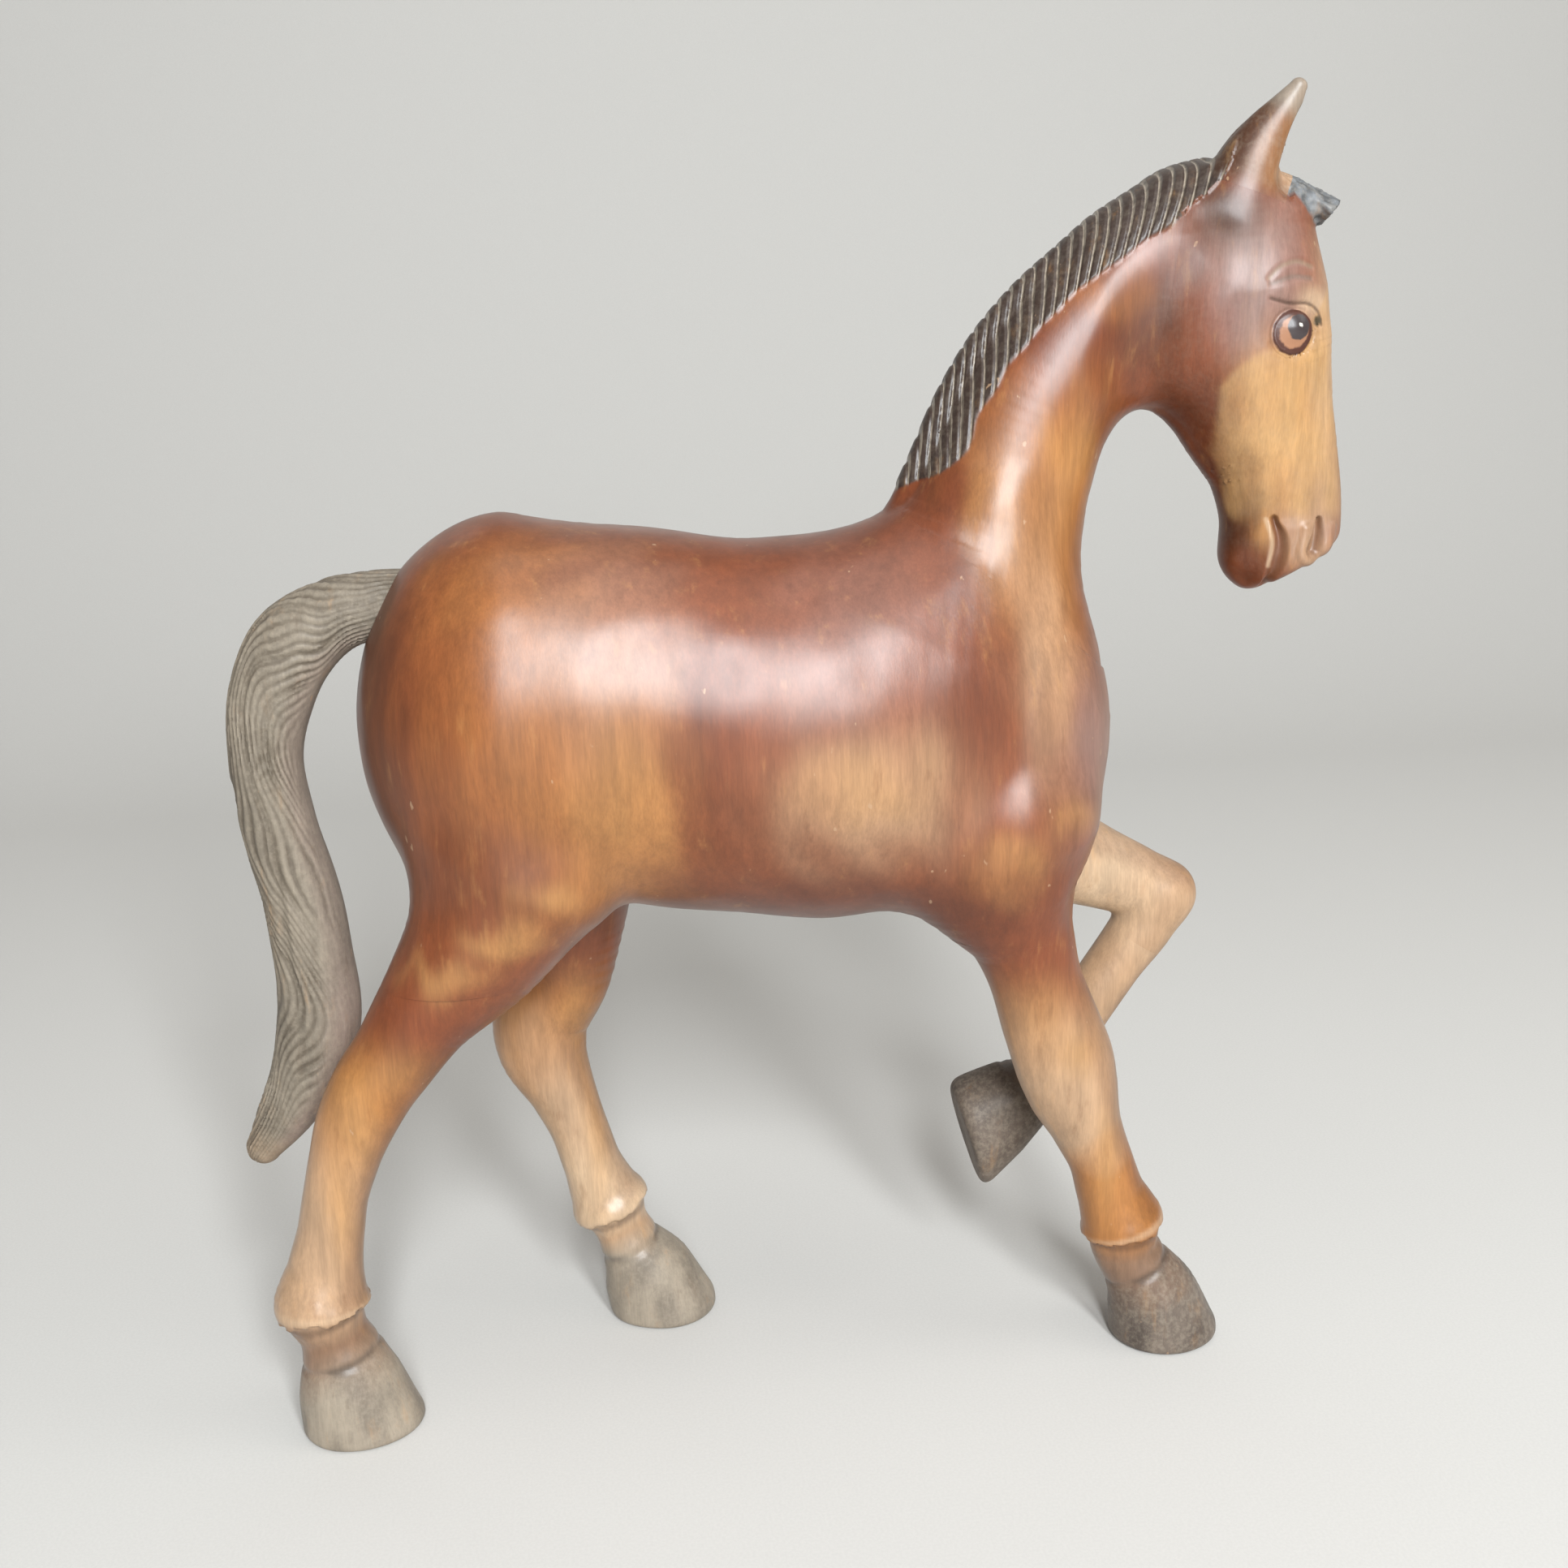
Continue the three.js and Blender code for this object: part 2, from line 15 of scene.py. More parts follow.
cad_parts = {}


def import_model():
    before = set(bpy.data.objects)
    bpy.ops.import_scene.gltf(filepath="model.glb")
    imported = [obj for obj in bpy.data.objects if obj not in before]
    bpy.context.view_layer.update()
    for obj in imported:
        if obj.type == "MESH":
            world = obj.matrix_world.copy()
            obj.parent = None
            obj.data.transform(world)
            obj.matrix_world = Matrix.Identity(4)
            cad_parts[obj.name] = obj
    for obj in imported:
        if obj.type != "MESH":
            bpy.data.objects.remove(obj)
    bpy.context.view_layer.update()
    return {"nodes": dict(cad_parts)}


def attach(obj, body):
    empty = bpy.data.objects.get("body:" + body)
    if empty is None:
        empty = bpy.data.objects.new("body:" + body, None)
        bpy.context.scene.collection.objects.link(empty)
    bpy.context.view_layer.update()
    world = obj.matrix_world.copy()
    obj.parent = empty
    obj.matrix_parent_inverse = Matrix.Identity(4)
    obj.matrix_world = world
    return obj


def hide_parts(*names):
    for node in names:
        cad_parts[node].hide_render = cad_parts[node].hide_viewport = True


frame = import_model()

# ---- driving dimensions, as in the part ----
MM = 0.001
MIDDLE_X = -5.9  # the frame's origin is above this point of the horse's own frame
HEAD_TURN = math.radians(15)  # the head looks a little to the right
POLL_X = 150  # the head turns about a vertical line here
BLEND_REACH = 30  # a limb further away than this has no say in the surface
FAR = 1e3  # reaches past the whole horse

# ---- how finely the surface is carved ----
TORSO_CELL = 2.2
NECK_CELL = 0.95
HEAD_CELL = 0.85
LEG_CELL = 1.1
TAIL_CELL = 0.85
EAR_CELL = 0.65
SPINE_STEPS = 6  # straight steps between two stations of a limb
COARSE = 4  # grid steps in one step of the coarse grid that finds the surface
GLUE_LINE = 0.01  # between the faces of two blocks
HOLE_GAP = 0.3  # between a dowel and its hole, all round

# ---- limbs ----
# A limb is a list of stations (x, y, z, half width, half depth) that its elliptical section passes through.
# The torso's are eased a little from the part's, so that the back and the belly run smooth.
TORSO = (
    (-104, 0, 276, 59, 79),
    (-64, 0, 276, 60, 72),
    (-26, 0, 270, 59, 72.5),
    (14, 0, 267, 58, 75),
    (48, 0, 263.5, 55, 71),
    (77, 0, 258, 48, 64),
)
NECK = (
    (60, 0, 300, 38, 48),
    (76, 0, 334, 31, 38),
    (86, 0, 363, 26, 32),
    (96, 0, 386, 24, 30),
    (112, 0, 407, 23, 29),
    (134, 0, 427, 23, 31),
    (152, 0, 440, 22, 28),
)
MANE = (
    (44, 0, 350, 6, 5),
    (54, 0, 368, 6, 6),
    (63, 0, 388, 6, 6),
    (74, 0, 406, 6, 6),
    (92, 0, 426, 6, 6),
    (112, 0, 442, 6, 6),
    (134, 0, 456, 6, 6),
    (158, 0, 466, 6, 6),
)
# The head's stations lie in its own turned plane, where y is measured from that plane.
HEAD = (
    (170, 0, 447, 22, 28),
    (171.5, 0, 425, 25, 32.5),
    (173, 0, 405, 26, 33.5),
    (180, 0, 382, 23, 29),
    (187.5, 0, 362, 19, 24),
    (191, 0, 344, 17.5, 22.5),
    (191, 0, 330, 18, 22.5),
)
FORELOCK = (
    (175, 0, 463, 8, 5),
    (188, 0, 460, 9, 5),
    (198, 0, 455, 9, 5),
    (210, 0, 449, 9, 5),
)
EAR = (
    (167, 13.5, 452, 8.5, 11),
    (171.5, 14, 465, 8.5, 11.5),
    (177, 14, 477, 7, 9.5),
    (183.5, 14, 487, 4.8, 6),
    (188, 14, 494, 2.8, 3.2),
)
RIGHT_HIND = (
    (-108, -27, 224, 30, 35),
    (-126, -28, 196, 25, 27),
    (-146, -29, 172, 19, 19),
    (-157, -30, 157, 16, 16.8),
    (-166, -30, 145, 14.5, 16),
    (-174, -30, 131, 13.5, 15),
    (-180, -30, 116, 12.5, 13.4),
    (-185, -30, 100, 12, 12.4),
    (-188, -30, 86, 12, 12.8),
    (-191.5, -30, 71, 13, 14.6),
    (-194, -31, 56, 16, 17.6),
    (-191.5, -31, 43, 12.5, 13),
    (-189, -31, 32, 15, 16),
    (-187, -31, 20, 18, 20),
    (-183, -31, 0, 20, 24),
)
LEFT_HIND = (
    (-100, 27, 220, 30, 38),
    (-94, 28, 190, 25, 29),
    (-94, 29, 164, 19, 20),
    (-105, 30, 143, 15, 20),
    (-105, 30, 128, 13.5, 18.5),
    (-98, 30, 108, 12.5, 14),
    (-92, 30, 90, 12, 12.2),
    (-88, 30, 75, 12, 12.4),
    (-84, 31, 62, 13.5, 14.6),
    (-81, 31, 54, 15.5, 16.4),
    (-77, 31, 43, 12, 11.8),
    (-73, 31, 33, 14, 13.5),
    (-67, 31, 20, 17.5, 19.5),
    (-60, 31, 0, 20, 23),
)
RIGHT_FORE = (
    (76, -25, 222, 25, 34),
    (80, -24, 202, 22, 28),
    (87, -23, 184, 18, 20.5),
    (93, -22, 165, 16, 18.5),
    (99, -22, 147, 15.5, 19.5),
    (105, -22, 130, 15, 20.2),
    (109.5, -22, 115, 14.5, 18.6),
    (115, -22, 99, 12.5, 14.6),
    (121, -22, 84, 12, 13),
    (125.5, -22, 69, 12.5, 13.8),
    (131, -22, 54, 15.5, 16.6),
    (133, -22, 42, 12.5, 13.6),
    (138, -22, 33, 14, 14.6),
    (144.5, -22, 20, 17.5, 18.8),
    (150, -22, 0, 20, 23),
)
LEFT_FOREARM = (
    (84, 26, 214, 24, 32),
    (112, 27, 203, 18, 22),
    (134, 28, 193, 15, 17.5),
    (152, 28, 185, 13.5, 15),
    (162, 28, 180, 13, 13.5),
)
LEFT_CANNON = (
    (162, 28, 180, 13, 13),
    (153, 28, 164, 12.5, 13),
    (142, 28, 149, 11.5, 12),
    (129, 28, 130, 11.5, 11.8),
    (119, 28, 114, 12, 13),
    (114, 28, 106, 14, 15),
    (108, 28, 98, 12, 12.5),
    (102, 28, 92.5, 15, 16.5),
    (89, 28, 83, 17.5, 21.5),
    (75.5, 28, 74, 19, 24),
    (66, 28, 67, 19.5, 25),
)
TAIL = (
    (-122, 0, 320, 13, 13),
    (-140, 0, 323, 13, 13),
    (-154, 0, 323, 13, 13),
    (-168, 0, 320, 13.5, 14),
    (-184, 0, 309, 14, 16),
    (-194, 0, 290, 14.5, 15.5),
    (-198, 0, 266, 15, 13.5),
    (-196, 0, 240, 15, 14),
    (-191, 0, 214, 15.5, 14.5),
    (-189, 0, 188, 16, 15),
    (-189, 0, 164, 16, 16),
    (-196, 0, 140, 14, 14.5),
    (-207, 0, 122, 11, 11),
    (-216, 0, 109, 7, 7),
)

# ---- seams, as in the part: a point and a direction that leads away from the torso ----
NECK_SEAM = ((40, 0, 352), (0.62, 0, 0.78))
HEAD_SEAM = ((146, 0, 468), (0.987, 0, -0.157))
LEG_SEAM_Z = 186
HIND_FRONT_X = -50
FORE_BACK_X = 36
FOREARM_SEAM = ((122, 28, 199), (0.927, 0, -0.375))
KNEE_SEAM = ((150, 28, 160), (-0.55, 0, -0.835))
RAISED_SOLE = ((75.5, 28, 74), (-0.966, 0, -0.262))
TAIL_SEAM = ((-137, 0, 323), (-0.96, 0, 0.28))
EAR_SEAM = ((171, 14, 460), (0.35, 0, 0.94))
EAR_ROOM = (30, 21, 60)  # the block of wood that an ear is cut from
FORELOCK_END = ((205, 454), (0.78, -0.63))  # the lock is cut off square here, in the head's plane

# ---- dowels: the middle of each, the way it points, and its length and diameter ----
LEG_DOWEL = (44, 9)
NECK_DOWEL = (56, 12)
SMALL_DOWEL = (34, 8)
EAR_PEG = (15, 4)
DOWELS = {
    "neck_dowel_upper": (("torso", "neck"), (58, 0, 337.7), NECK_SEAM[1], NECK_DOWEL),
    "neck_dowel_lower": (("torso", "neck"), (84, 0, 317), NECK_SEAM[1], NECK_DOWEL),
    "head_dowel_upper": (("neck", "head"), (142, 0, 443), HEAD_SEAM[1], SMALL_DOWEL),
    "head_dowel_lower": (("neck", "head"), (137.7, 0, 416), HEAD_SEAM[1], SMALL_DOWEL),
    "left_knee_dowel": (("left_foreleg_upper", "left_foreleg_lower"), *KNEE_SEAM, SMALL_DOWEL),
    "tail_dowel": (("torso", "tail"), *TAIL_SEAM, SMALL_DOWEL),
}
# A pair of dowels joins each leg to the torso: the y and z of both, the way they point, and the x of each.
for leg_name, y, z, down, size, pegs in (
    ("right_hindleg", -28, LEG_SEAM_Z, (-0.64, 0, -0.77), LEG_DOWEL, (-126, -143)),
    ("left_hindleg", 28, LEG_SEAM_Z, (0, 0, -1), LEG_DOWEL, (-84, -104)),
    ("right_foreleg", -23, LEG_SEAM_Z, (0.3, 0, -0.95), LEG_DOWEL, (94, 79.5)),
):
    for place, x in zip(("front", "rear"), pegs):
        DOWELS[f"{leg_name}_dowel_{place}"] = (("torso", leg_name), (x, y, z), down, size)
for place, y in (("outer", 34.5), ("inner", 21.5)):
    hosts = ("torso", "left_foreleg_upper")
    DOWELS[f"left_foreleg_dowel_{place}"] = (hosts, (122, y, 199), FOREARM_SEAM[1], SMALL_DOWEL)


# ---- the field: negative inside the wood, about a distance in millimetres ----
def head_to_horse(points):
    """Points of the head's own plane, turned to where the head looks."""
    forward, side, up = np.asarray(points, float).T
    forward = forward - POLL_X
    x = POLL_X + forward * math.cos(HEAD_TURN) + side * math.sin(HEAD_TURN)
    y = -forward * math.sin(HEAD_TURN) + side * math.cos(HEAD_TURN)
    return np.stack([x, y, up], axis=1)


def horse_to_head(points):
    x, y, z = points.T
    forward = (x - POLL_X) * math.cos(HEAD_TURN) - y * math.sin(HEAD_TURN)
    side = (x - POLL_X) * math.sin(HEAD_TURN) + y * math.cos(HEAD_TURN)
    return forward + POLL_X, side, z


def turned(stations, mirror=1):
    """The head's stations in the horse's frame, on its left side or mirrored to its right."""
    stations = np.array(stations, float)
    stations[:, 1] *= mirror
    stations[:, :3] = head_to_horse(stations[:, :3])
    return stations


def smooth_line(points, steps):
    """The centripetal curve through the points, with that many steps between each two."""
    points = np.asarray(points, float)
    padded = np.vstack([2 * points[0] - points[1], points, 2 * points[-1] - points[-2]])
    t = (np.arange(steps) / steps)[:, None]
    line = []
    for before, start, end, after in zip(padded, padded[1:], padded[2:], padded[3:]):
        spans = ((before, start), (start, end), (end, after))
        gaps = [max(np.linalg.norm(b - a), 1e-4) ** 0.5 for a, b in spans]
        leave = (start - before) / gaps[0] - (end - before) / (gaps[0] + gaps[1]) + (end - start) / gaps[1]
        arrive = (end - start) / gaps[1] - (after - start) / (gaps[1] + gaps[2]) + (after - end) / gaps[2]
        leave = leave * gaps[1]
        arrive = arrive * gaps[1]
        square = -3 * start + 3 * end - 2 * leave - arrive
        cube = 2 * start - 2 * end + leave + arrive
        line.append(start + leave * t + square * t**2 + cube * t**3)
    return np.vstack(line + [points[-1:]])


def unit(vectors):
    return vectors / np.linalg.norm(vectors, axis=-1, keepdims=True)


class Limb:
    """An ellipse of changing size that follows a smooth line."""

    def __init__(self, stations, side=(0, 1, 0)):
        stations = np.asarray(stations, float)
        self.line = smooth_line(stations[:, :3], SPINE_STEPS)
        self.sizes = smooth_line(stations[:, 3:], SPINE_STEPS)
        self.step = np.diff(self.line, axis=0)
        self.length = np.linalg.norm(self.step, axis=1)
        self.reached = np.concatenate([[0], np.cumsum(self.length)])
        self.along = unit(np.gradient(self.line, axis=0))
        side = np.asarray(side, float)
        self.across = unit(side - self.along * (self.along @ side)[:, None])
        self.up = np.cross(self.along, self.across)
        reach = stations[:, 3:].max()
        self.low = self.line.min(axis=0) - reach
        self.high = self.line.max(axis=0) + reach

    def at_station(self, index):
        """How far along the limb a station is."""
        return self.reached[index * SPINE_STEPS]

    def locate(self, points):
        """The run along, the offsets across, up and past the end, and both half sizes, for each point."""
        parts = [self._locate(part) for part in np.array_split(points, len(points) // 30000 + 1)]
        return [np.concatenate(values) for values in zip(*parts)]

    def _locate(self, points):
        squared = (self.line**2).sum(axis=1) - 2 * points @ self.line.T
        nearest = np.argmin(squared, axis=1)
        found = []
        for shift in (-1, 0):
            k = np.clip(nearest + shift, 0, len(self.length) - 1)
            offset = points - self.line[k]
            share = np.einsum("ij,ij->i", offset, self.step[k]) / self.length[k] ** 2
            share = np.clip(share, 0, 1)
            gap = np.linalg.norm(offset - self.step[k] * share[:, None], axis=1)
            found.append((gap, k, share))
        second = found[1][0] < found[0][0]
        k = np.where(second, found[1][1], found[0][1])
        share = np.where(second, found[1][2], found[0][2])[:, None]

        def between(values):
            return values[k] * (1 - share) + values[k + 1] * share

        offset = points - between(self.line)
        sizes = between(self.sizes)
        across, up, past = (
            np.einsum("ij,ij->i", offset, between(axis)) for axis in (self.across, self.up, self.along)
        )
        return self.reached[k] + share[:, 0] * self.length[k], across, up, past, sizes[:, 0], sizes[:, 1]

    def field(self, points):
        value = np.linalg.norm(np.maximum(0, np.maximum(self.low - points, points - self.high)), axis=1)
        near = value <= BLEND_REACH
        if near.any():
            _, across, up, past, width, depth = self.locate(points[near])
            cap = np.minimum(width, depth)
            k0 = np.sqrt((across / width) ** 2 + (up / depth) ** 2 + (past / cap) ** 2)
            k1 = np.sqrt((across / width**2) ** 2 + (up / depth**2) ** 2 + (past / cap**2) ** 2)
            value[near] = np.where(k1 > 1e-9, k0 * (k0 - 1) / np.maximum(k1, 1e-9), -cap)
        return value


def blend(a, b, radius):
    h = np.maximum(radius - np.abs(a - b), 0) / radius
    return np.minimum(a, b) - h * h * radius / 4


HEAD_SIDE = (math.sin(HEAD_TURN), math.cos(HEAD_TURN), 0)
torso = Limb(TORSO)
neck = Limb(NECK)
mane = Limb(MANE)
head = Limb(turned(HEAD), HEAD_SIDE)
forelock = Limb(turned(FORELOCK), HEAD_SIDE)
tail = Limb(TAIL)
ears = {"right_ear": Limb(turned(EAR, -1), HEAD_SIDE), "left_ear": Limb(turned(EAR), HEAD_SIDE)}
right_hind = Limb(RIGHT_HIND)
left_hind = Limb(LEFT_HIND)
right_fore = Limb(RIGHT_FORE)
forearm = Limb(LEFT_FOREARM)
cannon = Limb(LEFT_CANNON)

MUZZLE_CUT = (184.4, 316.6)  # the mouth is cut off straight here, in the head's plane
MUZZLE_CUT_OUT = (0.51, -0.86)


def head_field(points):
    """The head, with its mouth cut off on the slant."""
    forward, _, up = horse_to_head(points)
    cut = (forward - MUZZLE_CUT[0]) * MUZZLE_CUT_OUT[0] + (up - MUZZLE_CUT[1]) * MUZZLE_CUT_OUT[1]
    return -blend(-head.field(points), -cut, 4)


def forelock_field(points):
    """The lock over the forehead, cut off square."""
    forward, _, up = horse_to_head(points)
    (end_forward, end_up), (out_forward, out_up) = FORELOCK_END
    cut = (forward - end_forward) * out_forward + (up - end_up) * out_up
    return np.maximum(forelock.field(points), cut)


def horse_field(points):
    value = torso.field(points)
    value = blend(value, right_hind.field(points), 16)
    value = blend(value, left_hind.field(points), 16)
    value = blend(value, right_fore.field(points), 24)
    value = blend(value, blend(forearm.field(points), cannon.field(points), 6), 14)
    value = blend(value, blend(neck.field(points), head_field(points), 24), 26)
    value = blend(value, mane.field(points), 3)
    value = blend(value, forelock_field(points), 3)
    for ear in ears.values():
        value = blend(value, ear.field(points), 7)
    return value


# ---- carving: the surface of a field on a grid ----
SOLE_ROUNDING = 3
RAISED_ROUNDING = 6


def hoof_field(points):
    """The horse with the rims of its soles rubbed round."""
    value = horse_field(points)
    at, out = RAISED_SOLE
    raised = (points - at) @ np.array(out)
    lifted = -blend(-value, -raised, RAISED_ROUNDING)
    value = np.where((points[:, 1] > 0) & (points[:, 2] > 30) & (points[:, 0] > 40), lifted, value)
    return -blend(-value, points[:, 2], SOLE_ROUNDING)


CORNERS = [np.array((a, b, c)) for a in (0, 1) for b in (0, 1) for c in (0, 1)]
AXES = np.eye(3, dtype=int)


def shifted(values, corner):
    """The values one step further on along each axis that the corner names, for every cell of the grid."""
    return values[tuple(slice(c, n - 1 + c) for c, n in zip(corner, values.shape))]


def stretched(values, axis):
    """Straight-line values at the fine steps between those of the coarse grid."""
    values = np.moveaxis(values, axis, 0)
    share = (np.arange(COARSE) / COARSE)[:, None, None]
    fine = values[:-1, None] * (1 - share) + values[1:, None] * share
    fine = np.concatenate([fine.reshape(-1, *values.shape[1:]), values[-1:]])
    return np.moveaxis(fine, 0, axis)


def grid_values(field, low, counts, cell):
    """The field on the grid: exact near the surface, and roughly right elsewhere."""
    coarse = [math.ceil((count - 1) / COARSE) + 1 for count in counts]
    places = np.indices(coarse).reshape(3, -1).T
    values = field(low + places * cell * COARSE).reshape(coarse)
    for axis in range(3):
        values = stretched(values, axis)
    values = values[: counts[0], : counts[1], : counts[2]].copy()
    near = np.abs(values) < COARSE * cell
    values[near] = field(low + cell * np.argwhere(near))
    for axis in range(3):
        layers = np.moveaxis(values, axis, 0)
        layers[0] = layers[-1] = cell
    return values


def settle(values):
    """Turns over the weakest corner wherever wood meets wood, or air meets air, only across a diagonal of a
    grid face or of a grid cell, so that the surface never touches itself."""
    groups = []
    for axis in range(3):
        b, c = AXES[(axis + 1) % 3], AXES[(axis + 2) % 3]
        groups.append(([0 * b, b + c], [b, c]))
    for start in CORNERS[:4]:
        ends = [start, 1 - start]
        rest = [corner for corner in CORNERS if not any((corner == end).all() for end in ends)]
        groups.append((ends, rest))
    while True:
        flipped = False
        for ends, rest in groups:
            inside = [shifted(values < 0, corner) for corner in ends + rest]
            touching = inside[0] == inside[1]
            for other in inside[2:]:
                touching = touching & (other != inside[0])
            for place in np.argwhere(touching):
                members = [tuple(place + corner) for corner in (ends if len(rest) > 2 else ends + rest)]
                weakest = min(members, key=lambda member: abs(values[member]))
                values[weakest] = 1e-3 if values[weakest] < 0 else -1e-3
                flipped = True
        if not flipped:
            return


def surface_net(values, low, cell):
    """One point in each cell that the surface crosses, and one quad across each grid edge that it crosses."""
    inside = values < 0
    count = sum(shifted(inside, corner).astype(int) for corner in CORNERS)
    cells = np.argwhere((count > 0) & (count < 8))
    number = np.full(count.shape, -1)
    number[tuple(cells.T)] = np.arange(len(cells))
    total = np.zeros((len(cells), 3))
    crossings = np.zeros((len(cells), 1))
    for corner in CORNERS:
        for axis in AXES:
            if corner @ axis:
                continue
            near = values[tuple((cells + corner).T)]
            far = values[tuple((cells + corner + axis).T)]
            crossed = (near < 0) != (far < 0)
            share = near[crossed] / (near[crossed] - far[crossed])
            total[crossed] += corner + share[:, None] * axis
            crossings[crossed] += 1
    quads = []
    for axis in range(3):
        b, c = AXES[(axis + 1) % 3], AXES[(axis + 2) % 3]
        ahead = np.roll(inside, -1, axis)
        edges = np.argwhere(inside != ahead)
        ring = [number[tuple((edges - offset).T)] for offset in (b + c, c, 0 * b, b)]
        ring = np.stack(ring, axis=1)
        outside = ~inside[tuple(edges.T)]
        ring[outside] = ring[outside][:, ::-1]
        quads.append(ring)
    return low + cell * (cells + total / crossings), np.concatenate(quads)


def gradient(field, points):
    step = 0.05
    slope = [field(points + step * axis) - field(points - step * axis) for axis in AXES]
    return np.stack(slope, axis=1) / (2 * step)


def settled_on(field, points, cell, passes=2):
    """The points moved onto the surface, and the way out of the wood at each."""
    for _ in range(passes):
        slope = gradient(field, points)
        move = -field(points) / np.maximum((slope**2).sum(axis=1), 0.2)
        points = points + slope * np.clip(move, -cell / 2, cell / 2)[:, None]
    return points, unit(slope)


def mesh_points(mesh):
    flat = np.empty(len(mesh.vertices) * 3, np.float32)
    mesh.vertices.foreach_get("co", flat)
    return flat.reshape(-1, 3).astype(float)


def set_mesh_points(mesh, points):
    mesh.vertices.foreach_set("co", points.astype(np.float32).ravel())
    mesh.update()


def refine(mesh, wanted):
    """Halves the grid where fine knife work goes."""
    work = bmesh.new()
    work.from_mesh(mesh)
    chosen = wanted(mesh_points(mesh))
    edges = [edge for edge in work.edges if chosen[edge.verts[0].index] and chosen[edge.verts[1].index]]
    bmesh.ops.subdivide_edges(work, edges=edges, cuts=1, use_grid_fill=True)
    work.to_mesh(mesh)
    work.free()


def carve(name, field, low, high, cell, worked=None, fine=None):
    """The surface of the field inside a box, worked over by the knife."""
    low = np.array(low, float) - 1.5 * cell
    counts = [math.ceil(side / cell) + 2 for side in np.array(high) + 1.5 * cell - low]
    values = grid_values(field, low, counts, cell)
    settle(values)
    points, quads = surface_net(values, low, cell)
    mesh = bpy.data.meshes.new(name)
    mesh.from_pydata(points.tolist(), [], quads.tolist())
    if fine:
        refine(mesh, fine)
    points, outward = settled_on(field, mesh_points(mesh), cell)
    if worked:
        points = points + outward * worked(points)[:, None]
    set_mesh_points(mesh, points)
    return mesh


# ---- knife work: how far the skin is raised, in millimetres ----
def ramp(value, low, high):
    t = np.clip((value - low) / (high - low), 0, 1)
    return t * t * (3 - 2 * t)


def mound(distance, radius):
    """1 in the middle, and 0 from the radius out."""
    t = np.clip(1 - (distance / radius) ** 2, 0, 1)
    return t * t


def ripple(points, wavelength, seed):
    """Soft bumps of about that wavelength, between -1 and 1."""
    random = np.random.default_rng(seed)
    ways = unit(random.normal(size=(6, 3))) * 2 * math.pi / wavelength
    shifts = random.uniform(0, 2 * math.pi, 6)
    return np.sin(points @ ways.T + shifts).mean(axis=1) * 1.8


def path_distance(across, up, path):
    """How far each point is from a smooth path in a plane, and how much of the path it is along."""
    line = smooth_line([(a, b, 0) for a, b in path], 6)[:, :2]
    best = np.full(len(across), FAR)
    share = np.zeros(len(across))
    points = np.stack([across, up], axis=1)
    for k in range(len(line) - 1):
        step = line[k + 1] - line[k]
        t = np.clip((points - line[k]) @ step / (step @ step), 0, 1)
        gap = np.linalg.norm(points - line[k] - t[:, None] * step, axis=1)
        closer = gap < best
        best[closer] = gap[closer]
        share[closer] = (k + t[closer]) / (len(line) - 1)
    return best, share


# Places on the side of the head, in its own plane.
EYE = (191.2, 412.4)
EYE_RING = (190.0, 410.6)
EYE_CORNER = (199.6, 414.5)
LID = ((180.5, 422.5), (187.7, 420.6), (194.5, 420.4), (198.8, 417.6), (200.3, 413))
LOWER_LID = ((181.5, 407), (186, 402.8), (191, 401.8), (196, 403.8), (199.5, 409.5))
LOWER_BROW = ((180.6, 427.6), (188.6, 429.8), (194.8, 429.2))
UPPER_BROW = ((179.8, 429.5), (183.5, 433.2), (189.7, 435), (195.2, 433.2))
NOSTRIL = ((203.6, 343), (203.4, 337.4), (202.2, 331.5))
MOUTH = ((186.3, 343.5), (188.9, 335.5), (188, 326), (184, 315))
CHIN_HOLLOW = ((181, 329), (178.5, 322))
CHEEK_EDGE = ((155, 438), (146, 428), (138, 418), (133, 402))
JAW_EDGE = ((147, 383), (160, 372), (170, 358))
MUZZLE_RIM = ((176, 347), (190, 346.5), (205, 348.5))


def face_work(points):
    forward, side, up = horse_to_head(points)
    flank = ramp(np.abs(side), 5, 10)
    eye = np.hypot(forward - EYE[0], up - EYE[1])
    height = -2.2 * mound(eye, 16) + 3.1 * mound(eye, 8.5)
    ring = np.hypot(forward - EYE_RING[0], up - EYE_RING[1])
    height -= 0.7 * mound(ring - 8.2, 1.3)
    for path, width, depth in (
        (LID, 0.8, 0.6),
        (LOWER_LID, 1.0, 0.3),
        (LOWER_BROW, 1.2, 0.22),
        (UPPER_BROW, 1.2, 0.3),
        (CHIN_HOLLOW, 5.5, 1.5),
        (CHEEK_EDGE, 12, 2.8),
        (JAW_EDGE, 8, 0.9),
        (MUZZLE_RIM, 5, 0.6),
    ):
        gap, _ = path_distance(forward, up, path)
        height -= depth * mound(gap, width * 1.6)
    brow = np.hypot((forward - 190) / 1.6, up - 425)
    height += 0.9 * mound(brow, 7)
    gap, share = path_distance(forward, up, NOSTRIL)
    height -= 3.2 * mound(gap, 1.6 + 2.6 * share)
    height += 1.0 * mound(gap - 5, 3) * ramp(share, 0, 0.3)
    gap, share = path_distance(forward, up, MOUTH)
    height -= 2.6 * mound(gap, 1.2 + 3.2 * np.sin(math.pi * np.clip(share, 0.08, 0.92)))
    temple = np.hypot(forward - 174, up - 436)
    height -= 0.9 * mound(temple, 12)
    return height * flank


